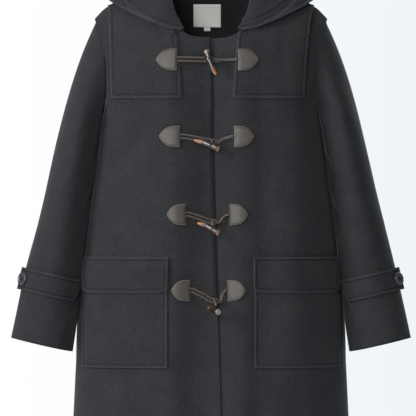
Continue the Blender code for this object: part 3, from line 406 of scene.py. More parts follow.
def shift_points(piece, move):
    """Moves each point of a piece by what a function says for its place."""
    for vertex in piece.data.vertices:
        vertex.co = vertex.co + move(vertex.co)
    piece.data.update()


def soften_edge(piece, distances, outward, line):
    """Rounds a turned edge off, puffs the strip inside it and sinks the stitch line."""
    normals = [v.normal.copy() for v in piece.data.vertices]
    for vertex, normal, distance in zip(piece.data.vertices, normals, distances):
        if outward(vertex.co, normal) > OUTWARD:
            rise = -ROUND_OFF * bell(distance, ROUND_BREADTH)
            rise += PUFF * bell(distance - line * PUFF_AT, line * PUFF_BREADTH)
            rise -= SINK * bell(distance - line, SINK_BREADTH)
            vertex.co = vertex.co + normal * rise
    piece.data.update()


# ---------------------------------------------------------------- stitch lines
def level_runs(piece, distances, level, facing):
    """Lines at one distance from the border, as runs of (point, normal)."""
    piece.data.calc_loop_triangles()
    vertices = piece.data.vertices
    crossings, links = {}, {}
    for triangle in piece.data.loop_triangles:
        normal = Vector(triangle.normal)
        corners = triangle.vertices
        centre = (vertices[corners[0]].co + vertices[corners[1]].co + vertices[corners[2]].co) / 3
        if not facing(centre, normal):
            continue
        cut = []
        for i in range(3):
            a, b = corners[i], corners[(i + 1) % 3]
            da, db = distances[a] - level, distances[b] - level
            if (da < 0) != (db < 0):
                key = (min(a, b), max(a, b))
                share = da / (da - db)
                crossings[key] = (vertices[a].co.lerp(vertices[b].co, share), normal)
                cut.append(key)
        if len(cut) == 2:
            links.setdefault(cut[0], []).append(cut[1])
            links.setdefault(cut[1], []).append(cut[0])
    runs, seen = [], set()
    for start in sorted(links, key=lambda key: (len(links[key]), key)):
        if start in seen:
            continue
        keys, here = [], start
        while here is not None:
            seen.add(here)
            keys.append(here)
            here = next((key for key in links[here] if key not in seen), None)
        if len(keys) > 3:
            if start in links[keys[-1]]:
                keys.append(start)
            runs.append([crossings[key] for key in keys])
    return runs


def stitch_boxes(runs, pitch, size):
    """Corners and faces of a small rounded stitch at each pitch along the runs."""
    length, breadth, height = size
    corners, faces = [], []
    for run in runs:
        travelled, next_at = 0.0, RUN_START
        for (a, normal), (b, _) in zip(run, run[1:]):
            step = (b - a).length
            while step > 0 and travelled + step >= next_at:
                middle = a.lerp(b, (next_at - travelled) / step)
                ahead = (b - a).normalized()
                side = normal.cross(ahead).normalized()
                base = len(corners)
                for row in STITCH_FORM:
                    for sign in (-1, 1):
                        corners.append(middle + ahead * (length * row.along)
                                       + side * (breadth * row.wide * sign) + normal * (height * row.high))
                faces += [[base + i for i in face] for face in STITCH_FACES]
                next_at += pitch
            travelled += step
    return corners, faces


def stitches(name, host, runs, material, size=STITCH_SIZE, pitch=None):
    """The separate stitches along a piece's runs, as one mesh."""
    corners, faces = stitch_boxes(runs, pitch or bpy.context.scene.coat_cloth.stitch_pitch, size)
    if not faces:
        raise RuntimeError(f"{name}: no stitch line was found on {host.name}")
    piece = mesh_piece(name, corners, faces, material)
    piece.data.shade_smooth()
    return piece


# ---------------------------------------------------------------- materials
# A pattern's scale is one over the real size, in metres, of what it repeats.
def add_node(tree, kind, links=None, **settings):
    """Adds a node, sets its values and joins the sockets that links names.

    A setting in_X is for the input socket X, by its name or its number. A Mix node of colours has
    its two colours at inputs 6 and 7, and gives the mixed one at output 2."""
    node = tree.nodes.new(kind)
    for key, value in settings.items():
        if key.startswith("in_"):
            socket = int(key[3:]) if key[3:].isdigit() else key[3:].replace("_", " ")
            node.inputs[socket].default_value = value
        else:
            setattr(node, key, value)
    for target, source in (links or {}).items():
        tree.links.new(source, node.inputs[target])
    return node


def new_material(name, **settings):
    """A material with its node tree and shader, or the finished one alone where it is there."""
    material = bpy.data.materials.get(name)
    if material:
        return material, None, None
    material = bpy.data.materials.new(name)
    material.use_nodes = True
    shader = material.node_tree.nodes["Principled BSDF"]
    for key, value in settings.items():
        shader.inputs[key.replace("_", " ")].default_value = value
    return material, material.node_tree, shader


def shaded(colour, share):
    """A colour made darker, or paler by a share over 1."""
    return tuple(min(1.0, c * share) for c in colour[:3]) + (1.0,)


def set_ramp(node, stops):
    """Gives a colour ramp its stops, as places and colours."""
    ramp = node.color_ramp
    while len(ramp.elements) < len(stops):
        ramp.elements.new(0.5)
    for element, (place, colour) in zip(ramp.elements, stops):
        element.position = place
        element.color = colour


def milled_wool(line=None):
    # Melton wool, woven, milled and brushed: a matte nap that hides the weave, with pale flecks of
    # single fibres, and a soft bloom where light grazes it. The flecks are drawn coarse so they show.
    # Where it is topstitched, the turned edge is painted paler, partly as rubbed wear and partly as a
    # painted highlight on its roll, and a painted shade darkens the sunk stitch line.
    cloth = bpy.context.scene.coat_cloth
    name = f"milled_wool_stitched_{line * 10000:.0f}" if line else "milled_wool_melton"
    material, tree, shader = new_material(
        name, Roughness=0.92, Sheen_Weight=0.10, Sheen_Roughness=0.45, Specular_IOR_Level=0.15)
    if tree is None:
        return material
    shader.inputs["Sheen Tint"].default_value = linear("#C9CED6")
    place = add_node(tree, "ShaderNodeTexCoord").outputs["Object"]
    flecks = add_node(tree, "ShaderNodeTexNoise", {"Vector": place}, in_Scale=1.0 / cloth.fibre,
                      in_Detail=2.0, in_Roughness=0.65)
    clouds = add_node(tree, "ShaderNodeTexNoise", {"Vector": place}, in_Scale=1.0 / 0.045,
                      in_Detail=3.0, in_Roughness=0.6)
    fleck_ramp = add_node(tree, "ShaderNodeValToRGB", {"Fac": flecks.outputs["Fac"]})
    set_ramp(fleck_ramp, [(0.30, cloth.dark_wool), (0.62, cloth.light_wool),
                          (0.80, shaded(cloth.light_wool, 2.4))])
    cloud_ramp = add_node(tree, "ShaderNodeValToRGB", {"Fac": clouds.outputs["Fac"]})
    set_ramp(cloud_ramp, [(0.35, (0.86, 0.86, 0.88, 1.0)), (0.65, (1.06, 1.06, 1.05, 1.0))])
    colour = add_node(tree, "ShaderNodeMix", {6: fleck_ramp.outputs["Color"],
                                              7: cloud_ramp.outputs["Color"]},
                      data_type="RGBA", blend_type="MULTIPLY", in_0=1.0)
    if line:
        # Painted paler at the turned edge, partly rubbed wear and partly a painted highlight, and darker
        # at the stitch line, a painted shade of its groove.
        edge = add_node(tree, "ShaderNodeAttribute", attribute_name="edge")
        place_in = add_node(tree, "ShaderNodeMapRange", {"Value": edge.outputs["Fac"]},
                            in_From_Max=line * 2)
        rub_and_painted_shade = add_node(tree, "ShaderNodeValToRGB", {"Fac": place_in.outputs["Result"]})
        set_ramp(rub_and_painted_shade, [(place_at, (shade, shade, shade, 1.0)) for place_at, shade in EDGE_RUB_AND_PAINTED_SHADE])
        colour = add_node(tree, "ShaderNodeMix", {6: colour.outputs[2], 7: rub_and_painted_shade.outputs["Color"]},
                          data_type="RGBA", blend_type="MULTIPLY", in_0=1.0)
    tree.links.new(colour.outputs[2], shader.inputs["Base Color"])
    nap = add_node(tree, "ShaderNodeTexNoise", {"Vector": place}, in_Scale=1.0 / 0.0024,
                   in_Detail=3.0, in_Roughness=0.7)
    bump = add_node(tree, "ShaderNodeBump", {"Height": nap.outputs["Fac"]}, in_Strength=0.35,
                    in_Distance=0.0006)
    tree.links.new(bump.outputs["Normal"], shader.inputs["Normal"])
    return material


def thread_material(name, colour):
    # Spun polyester sewing thread: a little smoother than the nap, so it reads as a fine line.
    material, tree, shader = new_material(name, Roughness=0.85, Specular_IOR_Level=0.2)
    if tree is None:
        return material
    place = add_node(tree, "ShaderNodeTexCoord").outputs["Object"]
    twist = add_node(tree, "ShaderNodeTexNoise", {"Vector": place}, in_Scale=1.0 / 0.0012, in_Detail=1.0)
    ramp = add_node(tree, "ShaderNodeValToRGB", {"Fac": twist.outputs["Fac"]})
    set_ramp(ramp, [(0.3, shaded(colour, 0.75)), (0.7, colour)])
    tree.links.new(ramp.outputs["Color"], shader.inputs["Base Color"])
    return material


def patch_leather():
    # Corrected-grain cow leather, drum dyed: a close pebble, softly polished, paler where it is rubbed.
    trim = bpy.context.scene.coat_trim
    material, tree, shader = new_material("corrected_grain_leather", Roughness=0.52,
                                          Specular_IOR_Level=0.45)
    if tree is None:
        return material
    place = add_node(tree, "ShaderNodeTexCoord").outputs["Object"]
    grain = add_node(tree, "ShaderNodeTexVoronoi", {"Vector": place}, in_Scale=1.0 / 0.0015)
    clouds = add_node(tree, "ShaderNodeTexNoise", {"Vector": place}, in_Scale=1.0 / 0.012, in_Detail=3.0)
    ramp = add_node(tree, "ShaderNodeValToRGB", {"Fac": clouds.outputs["Fac"]})
    set_ramp(ramp, [(0.35, shaded(trim.leather, 0.8)), (0.68, trim.leather)])
    edge = add_node(tree, "ShaderNodeAttribute", attribute_name="edge")
    rub = add_node(tree, "ShaderNodeMapRange", {"Value": edge.outputs["Fac"]}, in_From_Max=0.0030,
                   in_To_Min=0.7, in_To_Max=0.0)
    colour = add_node(tree, "ShaderNodeMix", {0: rub.outputs["Result"], 6: ramp.outputs["Color"]},
                      data_type="RGBA", in_7=trim.leather_worn)
    tree.links.new(colour.outputs[2], shader.inputs["Base Color"])
    bump = add_node(tree, "ShaderNodeBump", {"Height": grain.outputs["Distance"]}, in_Strength=0.30,
                    in_Distance=0.0004)
    tree.links.new(bump.outputs["Normal"], shader.inputs["Normal"])
    return material


def cord_leather():
    # Round cord of two twisted leather plies, waxed. Each ply is painted paler on its outer side, a
    # painted highlight, and darker where the plies meet, a painted shade.
    trim = bpy.context.scene.coat_trim
    material, tree, shader = new_material("twisted_leather_cord", Roughness=0.48, Specular_IOR_Level=0.45)
    if tree is None:
        return material
    ply_painted_light = add_node(tree, "ShaderNodeAttribute", attribute_name="ply_painted_light")
    # Painted light: each ply darkens to a painted shade where it meets the other and pales to a painted
    # highlight on its outer side.
    ramp = add_node(tree, "ShaderNodeValToRGB", {"Fac": ply_painted_light.outputs["Fac"]})
    set_ramp(ramp, [(0.0, shaded(trim.cord, 0.35)), (0.75, trim.cord),
                    (1.0, shaded(trim.cord, 1.45))])
    tree.links.new(ramp.outputs["Color"], shader.inputs["Base Color"])
    return material


def horn_material():
    # Polished horn: dark with amber ends where it is thin, fine streaks along it, a clear gloss.
    trim = bpy.context.scene.coat_trim
    material, tree, shader = new_material("polished_horn", Roughness=0.28, Coat_Weight=0.5,
                                          Coat_Roughness=0.12, IOR=1.54)
    if tree is None:
        return material
    along = add_node(tree, "ShaderNodeAttribute", attribute_name="along")
    place = add_node(tree, "ShaderNodeTexCoord").outputs["Object"]
    streak = add_node(tree, "ShaderNodeTexNoise", {"Vector": place}, in_Scale=1.0 / 0.0045,
                      in_Detail=4.0, in_Roughness=0.6)
    wander = add_node(tree, "ShaderNodeMath", {0: streak.outputs["Fac"]}, operation="MULTIPLY_ADD",
                      in_1=0.34, in_2=-0.17)
    moved = add_node(tree, "ShaderNodeMath", {0: along.outputs["Fac"], 1: wander.outputs["Value"]},
                     operation="ADD")
    ramp = add_node(tree, "ShaderNodeValToRGB", {"Fac": moved.outputs["Value"]})
    grey = shaded(linear("#8E8983"), 0.55)
    set_ramp(ramp, [(0.0, grey), (0.04, trim.horn_tip), (0.12, trim.horn), (0.66, trim.horn),
                    (0.82, trim.horn_tip), (1.0, shaded(trim.horn_tip, 1.6))])
    tree.links.new(ramp.outputs["Color"], shader.inputs["Base Color"])
    return material


def button_material():
    # Cast polyester button, turned and tumbled: dark grey with faint cloudy swirls and a satin gloss.
    trim = bpy.context.scene.coat_trim
    material, tree, shader = new_material("cast_polyester_button", Roughness=0.30, Coat_Weight=0.2,
                                          IOR=1.53)
    if tree is None:
        return material
    place = add_node(tree, "ShaderNodeTexCoord").outputs["Object"]
    swirl = add_node(tree, "ShaderNodeTexNoise", {"Vector": place}, in_Scale=1.0 / 0.006, in_Detail=3.0,
                     in_Distortion=1.5)
    ramp = add_node(tree, "ShaderNodeValToRGB", {"Fac": swirl.outputs["Fac"]})
    set_ramp(ramp, [(0.35, shaded(trim.button, 0.5)), (0.7, trim.button)])
    tree.links.new(ramp.outputs["Color"], shader.inputs["Base Color"])
    return material


def label_material():
    # Woven cotton label: a fine flat weave of 0.6 mm threads, off-white and bare. At scale 1 a wave
    # is 0.314 m long, and each holds a thread and the gap beside it.
    material, tree, shader = new_material("woven_label_cotton", Roughness=0.85, Sheen_Weight=0.1)
    if tree is None:
        return material
    cloth = bpy.context.scene.coat_cloth
    place = add_node(tree, "ShaderNodeTexCoord").outputs["Object"]
    warp = add_node(tree, "ShaderNodeTexWave", {"Vector": place}, bands_direction="X",
                    in_Scale=0.314 / 0.0012, in_Distortion=0.6)
    weft = add_node(tree, "ShaderNodeTexWave", {"Vector": place}, bands_direction="Z",
                    in_Scale=0.314 / 0.0012, in_Distortion=0.6)
    both = add_node(tree, "ShaderNodeMath", {0: warp.outputs["Fac"], 1: weft.outputs["Fac"]},
                    operation="MULTIPLY")
    ramp = add_node(tree, "ShaderNodeValToRGB", {"Fac": both.outputs["Value"]})
    set_ramp(ramp, [(0.0, shaded(cloth.label, 0.86)), (1.0, cloth.label)])
    tree.links.new(ramp.outputs["Color"], shader.inputs["Base Color"])
    bump = add_node(tree, "ShaderNodeBump", {"Height": both.outputs["Value"]}, in_Strength=0.3,
                    in_Distance=0.0003)
    tree.links.new(bump.outputs["Normal"], shader.inputs["Normal"])
    return material


def stage_material():
    # Painted studio floor: matt, pale and even.
    material, tree, shader = new_material("matt_studio_paint", Roughness=0.9)
    if tree is None:
        return material
    place = add_node(tree, "ShaderNodeTexCoord").outputs["Object"]
    wash = add_node(tree, "ShaderNodeTexNoise", {"Vector": place}, in_Scale=1.4, in_Detail=2.0)
    ramp = add_node(tree, "ShaderNodeValToRGB", {"Fac": wash.outputs["Fac"]})
    set_ramp(ramp, [(0.3, linear("#E6EAED")), (0.7, linear("#EEF1F3"))])
    tree.links.new(ramp.outputs["Color"], shader.inputs["Base Color"])
    return material


# ---------------------------------------------------------------- finishing a piece
def join_frame(piece, node, others=()):
    """Rides a piece and what is sewn on it on the coat's one body, in place of its CAD node."""
    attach(piece, "root")
    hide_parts(node)
    for other in others:
        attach(other, "root")


def cloth_piece(node, levels, move):
    """A wool piece on the form of its CAD node, with its folds."""
    piece = copy_of_node(node, node + "_wool")
    rounded_grid(piece, levels)
    if move is fold_move:
        meet_at_seam(piece, node)
    distances = edge_distances(piece)
    shift_points(piece, move)
    store(piece, "edge", distances)
    give_surface(piece, milled_wool(), 50)
    return piece


def under_hood(point):
    """Carries the top inner corner of the left storm flap up to the hood's corner."""
    return Vector((0.0, 0.0, LIFT * (fade(point.z, *LIFT_Z) * fade(point.x, *LIFT_X))))


def free_yoke_edge(point):
    """Whether a place on a storm flap's border is on its stitched edges, not in the seam at its top."""
    inner = YOKE_INNER["left" if point.x > 0 else "right"]
    return point.z < YOKE_SEAM or abs(point.x) > YOKE_OUTER or abs(point.x) < inner


def sew_round(piece, node, kind, distances, facing):
    """Stitches a wool piece inside its edge and joins both to the frame."""
    thread = thread_material("spun_polyester_thread", bpy.context.scene.coat_cloth.thread)
    runs = []
    for inset in STITCH_INSET[kind]:
        runs += level_runs(piece, distances, inset, facing)
    sewing = stitches(node + "_stitches", piece, runs, thread)
    join_frame(piece, node, [sewing])


def sewn_plate(node, kind, levels, move, outward, first=None, wanted=None):
    """A wool plate with turned edges, a stitch line inside them and the folds below it."""
    piece = copy_of_node(node, node + "_wool")
    rounded_grid(piece, levels)
    if first:
        shift_points(piece, first)
    distances = edge_distances(piece, wanted)
    piece.data.update()
    soften_edge(piece, distances, outward, STITCH_INSET[kind][0])
    shift_points(piece, move)
    store(piece, "edge", distances)
    give_surface(piece, milled_wool(STITCH_INSET[kind][0]), 60)
    sew_round(piece, node, kind, distances, lambda place, normal: outward(place, normal) > OUTWARD)


def faces_front(point, normal):
    """How squarely a place faces the front, from 1 to -1."""
    return -normal.y


def faces_off_arm(point, normal):
    """How squarely a place faces away from the middle of its sleeve."""
    out, _ = arm_frame(point)
    return out.normalized().dot(normal)


# ---------------------------------------------------------------- cords
def tube_centres(node):
    """The middle line of a round CAD cord, found ring by ring from one cut end."""
    work = bmesh.new()
    work.from_mesh(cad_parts[node].data)
    bmesh.ops.remove_doubles(work, verts=work.verts, dist=MERGE)
    rim = [e for e in work.edges if len(e.link_faces) == 2 and e.calc_face_angle(0.0) > math.radians(60)]
    pending = {v for e in rim for v in e.verts}
    first = min(pending, key=lambda v: (v.co.x, v.co.z))
    group, stack = set(), [first]
    while stack:
        vertex = stack.pop()
        if vertex in group:
            continue
        group.add(vertex)
        stack += [e.other_vert(vertex) for e in vertex.link_edges if e in rim]
    seen, layer, centres = set(group), list(group), []
    while layer:
        centres.append(sum((v.co for v in layer), Vector()) / len(layer))
        after = {e.other_vert(v) for v in layer for e in v.link_edges} - seen
        seen |= after
        layer = sorted(after, key=lambda v: v.index)
    work.free()
    return centres


def even_line(points, step):
    """The same line with points a fixed step apart."""
    lengths = [0.0]
    for a, b in zip(points, points[1:]):
        lengths.append(lengths[-1] + (b - a).length)
    count = max(2, int(lengths[-1] / step))
    line, i = [], 0
    for k in range(count + 1):
        want = lengths[-1] * k / count
        while i < len(lengths) - 2 and lengths[i + 1] < want:
            i += 1
        share = (want - lengths[i]) / max(lengths[i + 1] - lengths[i], 1e-9)
        line.append(points[i].lerp(points[i + 1], share))
    for _ in range(2):
        line = [line[0]] + [(a + b * 2 + c) / 4 for a, b, c in zip(line, line[1:], line[2:])] + [line[-1]]
    return line


def cord_move(point):
    """A cord keeps to the folds at its patch and hangs free of them near its toggle."""
    return fold_move(point) * fade(abs(point.x), *CORD_FREE)


def draw_together(centres):
    """Brings a loop's two strands nearer each other, up to where its end bends round."""
    closer = []
    for i, point in enumerate(centres):
        partner = centres[len(centres) - 1 - i]
        from_bend = abs(2 * i / (len(centres) - 1) - 1.0)
        share = 1.0 - CLOSER * fade(from_bend, 0.0, BEND_PART)
        middle = (point + partner) / 2
        closer.append(middle + (point - middle) * share)
    return closer


def twisted_cord(name, centres, radius, pitch):
    """Two plies along a line, each a closed tube, wound round each other once in each pitch.

    With no pitch they lie side by side, and the cord narrows towards its far end."""
    line = [p + cord_move(p) for p in even_line(centres, CORD_STEP)]
    up, travelled, rings = Vector((0.0, 0.0, 1.0)), 0.0, []
    for i, here in enumerate(line):
        ahead = (line[min(i + 1, len(line) - 1)] - line[max(i - 1, 0)]).normalized()
        up = (up - ahead * up.dot(ahead)).normalized()
        if i:
            travelled += (here - line[i - 1]).length
        rings.append((here, ahead, up.copy(), ahead.cross(up), travelled))
    points, faces, ply_painted_lights = [], [], []
    for strand in (0, 1):
        base = len(points)
        for here, ahead, high, side, far in rings:
            size = radius if pitch else radius * (1.0 - TAPER * fade(far / travelled, *TAPER_FROM))
            turn = (2 * math.pi * far / pitch if pitch else 0.0) + math.pi * strand
            out = high * math.cos(turn) + side * math.sin(turn)
            across = ahead.cross(out)
            middle = here + out * (size * PLY_OFF)
            for k in range(PLY_SIDES):
                a = 2 * math.pi * k / PLY_SIDES
                points.append(middle + (out * math.cos(a) + across * math.sin(a)) * (size * PLY_RADIUS))
                # Painted highlight and shade: 1 on a ply's outer side, 0 where it meets the other ply.
                ply_painted_lights.append(0.5 + 0.5 * math.cos(a))
        last = base + (len(rings) - 1) * PLY_SIDES
        for ring in range(base, last, PLY_SIDES):
            for k in range(PLY_SIDES):
                a, b = ring + k, ring + (k + 1) % PLY_SIDES
                faces.append((a, b, b + PLY_SIDES, a + PLY_SIDES))
        faces.append(tuple(base + k for k in reversed(range(PLY_SIDES))))
        faces.append(tuple(last + k for k in range(PLY_SIDES)))
    piece = mesh_piece(name, points, faces, cord_leather())
    store(piece, "ply_painted_light", ply_painted_lights)
    piece.data.shade_smooth()
    return piece


# ---------------------------------------------------------------- operators
class COAT_OT_body(bpy.types.Operator):
    """Dresses the two fronts and the back in folded wool"""
    bl_idname = "coat.body"
    bl_label = "Body"

    def execute(self, context):
        for node in ("front_left", "front_right", "back"):
            piece = cloth_piece(node, 2, fold_move)
            join_frame(piece, node)
        return {"FINISHED"}


class COAT_OT_sleeves(bpy.types.Operator):
    """Dresses the two-piece sleeves, with creases at the elbow"""
    bl_idname = "coat.sleeves"
    bl_label = "Sleeves"

    def execute(self, context):
        for side in SIDES:
            for kind in ("sleeve_upper", "sleeve_under"):
                node = f"{kind}_{side}"
                piece = cloth_piece(node, 3, crease_move)
                join_frame(piece, node)
        return {"FINISHED"}


def hood_rim(point):
    """Whether a place on the border of a hood half is on its rim, not in a seam."""
    return math.hypot(point.x, point.y) > RIM_FROM and abs(point.x) > CENTRE_SEAM


def roll_rim(piece, distances):
    """Sinks the two stitch lines of the hood's rim and lifts a soft roll inside them."""
    normals = [v.normal.copy() for v in piece.data.vertices]
    for vertex, normal, distance in zip(piece.data.vertices, normals, distances):
        rise = ROLL * bell(distance - ROLL_AT, ROLL_BREADTH)
        for inset in STITCH_INSET["hood"]:
            rise -= RIM_SINK * bell(distance - inset, RIM_SINK_BREADTH)
        vertex.co = vertex.co + normal * rise
    piece.data.update()


def hood_move(point):
    """Slow unevenness of the thick hood cloth, none at its seams."""
    level = fade(math.hypot(point.x, point.y), *HOOD_FLAT) * fade(abs(point.x), 0.0, HOOD_FLAT_MIDDLE)
    wave = noise.noise(Vector((point.x * 18, point.y * 18, point.z * 14 + 3.0))) * HOOD_WAVE
    return Vector((point.x, point.y, 0.06)).normalized() * wave * level


class COAT_OT_hood(bpy.types.Operator):
    """Dresses the hood halves and stitches their rim twice"""
    bl_idname = "coat.hood"
    bl_label = "Hood"

    def execute(self, context):
        for side in SIDES:
            node = f"hood_{side}"
            piece = copy_of_node(node, node + "_wool")
            rounded_grid(piece, 3)
            meet_at_seam(piece, node)
            distances = edge_distances(piece, hood_rim)
            roll_rim(piece, distances)
            shift_points(piece, hood_move)
            store(piece, "edge", distances)
            give_surface(piece, milled_wool(STITCH_INSET["hood"][0]), 50)
            sew_round(piece, node, "hood", distances, lambda place, normal: True)
        return {"FINISHED"}


class COAT_OT_yokes(bpy.types.Operator):
    """Dresses the storm flaps on the chest"""
    bl_idname = "coat.yokes"
    bl_label = "Storm flaps"

    def execute(self, context):
        for side in SIDES:
            sewn_plate(f"yoke_{side}", "yoke", 3, fold_move, faces_front,
                       first=under_hood if side == "left" else None, wanted=free_yoke_edge)
        return {"FINISHED"}


class COAT_OT_pockets(bpy.types.Operator):
    """Dresses the patch pockets and their flaps"""
    bl_idname = "coat.pockets"
    bl_label = "Pockets"

    def execute(self, context):
        for side in SIDES:
            sewn_plate(f"pocket_{side}", "pocket", 3, fold_move, faces_front)
            sewn_plate(f"pocket_flap_{side}", "pocket_flap", 3, fold_move, faces_front)
        return {"FINISHED"}


class COAT_OT_tabs(bpy.types.Operator):
    """Dresses the cuff tabs"""
    bl_idname = "coat.tabs"
    bl_label = "Cuff tabs"

    def execute(self, context):
        for side in SIDES:
            sewn_plate(f"cuff_tab_{side}", "cuff_tab", 3, crease_move, faces_off_arm)
        return {"FINISHED"}


def main_axes(piece):
    """A piece's points, their middle, and its main axes from the longest to the shortest."""
    places = np.array([v.co for v in piece.data.vertices])
    centre = places.mean(0)
    _, _, axes = np.linalg.svd(places - centre, full_matrices=False)
    return places, centre, axes


def button_axes(piece):
    """Middle, outward axis and a direction across a button, from its own points."""
    _, centre, axes = main_axes(piece)
    axis, across = Vector(axes[2]), Vector(axes[0])
    middle = Vector(centre)
    if axis.dot(arm_frame(middle)[0]) < 0:
        axis = -axis
    return middle, axis, across


def bore_hole(piece, place, axis):
    """Bores one thread hole through a button."""
    clear_selection()
    bpy.ops.mesh.primitive_cylinder_add(vertices=12, radius=HOLE_RADIUS, depth=HOLE_DEPTH, location=place,
                                        rotation=axis.to_track_quat("Z", "Y").to_euler())
    cutter = bpy.context.active_object
    make_active(piece)
    cut = piece.modifiers.new("hole", "BOOLEAN")
    cut.operation, cut.object, cut.solver = "DIFFERENCE", cutter, "EXACT"
    bpy.ops.object.modifier_apply(modifier=cut.name)
    bpy.data.objects.remove(cutter)


def button_thread(name, centre, axis, across, up):
    """Two crossed bars of thread over the holes, each one long stitch."""
    runs = []
    top = centre + axis * THREAD_RISE
    for sign in (-1, 1):
        bar = (across + up * sign).normalized() * THREAD_REACH
        runs.append([(top - bar * THREAD_BACK, axis), (top + bar, axis)])
    corners, faces = stitch_boxes(runs, 1.0, THREAD_BAR)
    thread = thread_material("spun_polyester_thread", bpy.context.scene.coat_cloth.thread)
    return mesh_piece(name, corners, faces, thread)


class COAT_OT_buttons(bpy.types.Operator):
    """Makes the cuff buttons with four holes and their thread"""
    bl_idname = "coat.buttons"
    bl_label = "Cuff buttons"

    def execute(self, context):
        for side in SIDES:
            node = f"cuff_button_{side}"
            piece = copy_of_node(node, node + "_cast")
            rounded_grid(piece, 2, keep_angle=70.0)
            centre, axis, across = button_axes(piece)
            up = axis.cross(across)
            for k in range(HOLES):
                a = math.radians(45 + 360 / HOLES * k)
                bore_hole(piece, centre + (across * math.cos(a) + up * math.sin(a)) * HOLE_AT, axis)
            give_surface(piece, button_material(), 35)
            move = crease_move(centre)
            for vertex in piece.data.vertices:
                vertex.co = vertex.co + move
            sewing = button_thread(node + "_thread", centre + move, axis, across, up)
            join_frame(piece, node, [sewing])
        return {"FINISHED"}


def shorten_patch(piece):
    """Draws the point of a lower patch in, towards its straight edge."""
    straight = min((v.co.x for v in piece.data.vertices), key=abs)
    for vertex in piece.data.vertices:
        vertex.co.x = straight + (vertex.co.x - straight) * SHORT_PATCH


class COAT_OT_patches(bpy.types.Operator):
    """Makes the pointed leather patches with an edge stitch"""
    bl_idname = "coat.patches"
    bl_label = "Leather patches"

    def execute(self, context):
        thread = thread_material("waxed_brown_thread", linear("#2F2A26"))
        for number in ROWS:
            for side in SIDES:
                node = f"patch_{side}_{number}"
                piece = copy_of_node(node, node + "_leather")
                rounded_grid(piece, 1)
                distances = edge_distances(piece)
                for vertex, distance in zip(piece.data.vertices, distances):
                    if faces_front(vertex.co, vertex.normal) > OUTWARD:
                        vertex.co.y += PATCH_ROUND * bell(distance, PATCH_BREADTH)
                if number > 2:
                    shorten_patch(piece)
                shift_points(piece, fold_move)
                store(piece, "edge", distances)
                give_surface(piece, patch_leather(), 60)
                runs = level_runs(piece, distances, STITCH_INSET["patch"][0],
                                  lambda place, normal: faces_front(place, normal) > OUTWARD)
                sewing = stitches(node + "_stitches", piece, runs, thread, FINE_STITCH, PATCH_PITCH)
                join_frame(piece, node, [sewing])
        return {"FINISHED"}


class COAT_OT_cords(bpy.types.Operator):
    """Winds the loops and the toggle cords"""
    bl_idname = "coat.cords"
    bl_label = "Cords"

    def execute(self, context):
        pitch = context.scene.coat_trim.ply
        for number in ROWS:
            for kind, radius, turn in (("toggle_loop", 0.0025, pitch), ("toggle_cord", 0.0038, 0.0)):
                node = f"{kind}_{number}"
                centres = tube_centres(node)
                if kind == "toggle_loop":
                    centres = draw_together(centres)
                piece = twisted_cord(node + "_plies", centres, radius, turn)
                join_frame(piece, node)
        return {"FINISHED"}


class COAT_OT_toggles(bpy.types.Operator):
    """Carves the horn toggles: rounded, ringed and amber at the ends"""
    bl_idname = "coat.toggles"
    bl_label = "Toggles"

    def execute(self, context):
        for number in ROWS:
            node = f"toggle_{number}"
            piece = copy_of_node(node, node + "_horn")
            rounded_grid(piece, 2, keep_angle=80.0)
            places, centre, axes = main_axes(piece)
            far = (places - centre) @ axes[0]
            off = np.linalg.norm((places - centre) - np.outer(far, axes[0]), axis=1)
            if off[far > 0].mean() > off[far < 0].mean():
                far = -far
            along = (far - far.min()) / (far.max() - far.min())
            for vertex, share in zip(piece.data.vertices, along):
                waist = WAIST * bell(share - WAIST_AT, WAIST_BREADTH)
                grain = noise.noise(Vector(vertex.co) * HORN_GRAIN) * HORN_ROUGH
                vertex.co = vertex.co - vertex.normal * waist + vertex.normal * grain
            store(piece, "along", along)
            give_surface(piece, horn_material(), 60)
            join_frame(piece, node)
        return {"FINISHED"}


class COAT_OT_label(bpy.types.Operator):
    """Weaves the bare neck label and size tab"""
    bl_idname = "coat.label"
    bl_label = "Neck label"

    def execute(self, context):
        for node in ("neck_label", "size_tab"):
            piece = copy_of_node(node, node + "_woven")
            rounded_grid(piece, 3)
            distances = edge_distances(piece)
            store(piece, "edge", distances)
            give_surface(piece, label_material(), 60)
            others = []
            if node == "neck_label":
                thread = thread_material("cream_cotton_thread", linear("#D9D8CC"))
                runs = level_runs(piece, distances, STITCH_INSET[node][0],
                                  lambda place, normal: faces_front(place, normal) > OUTWARD)
                others = [stitches(node + "_stitches", piece, runs, thread, FINE_STITCH, LABEL_PITCH)]
            join_frame(piece, node, others)
        return {"FINISHED"}


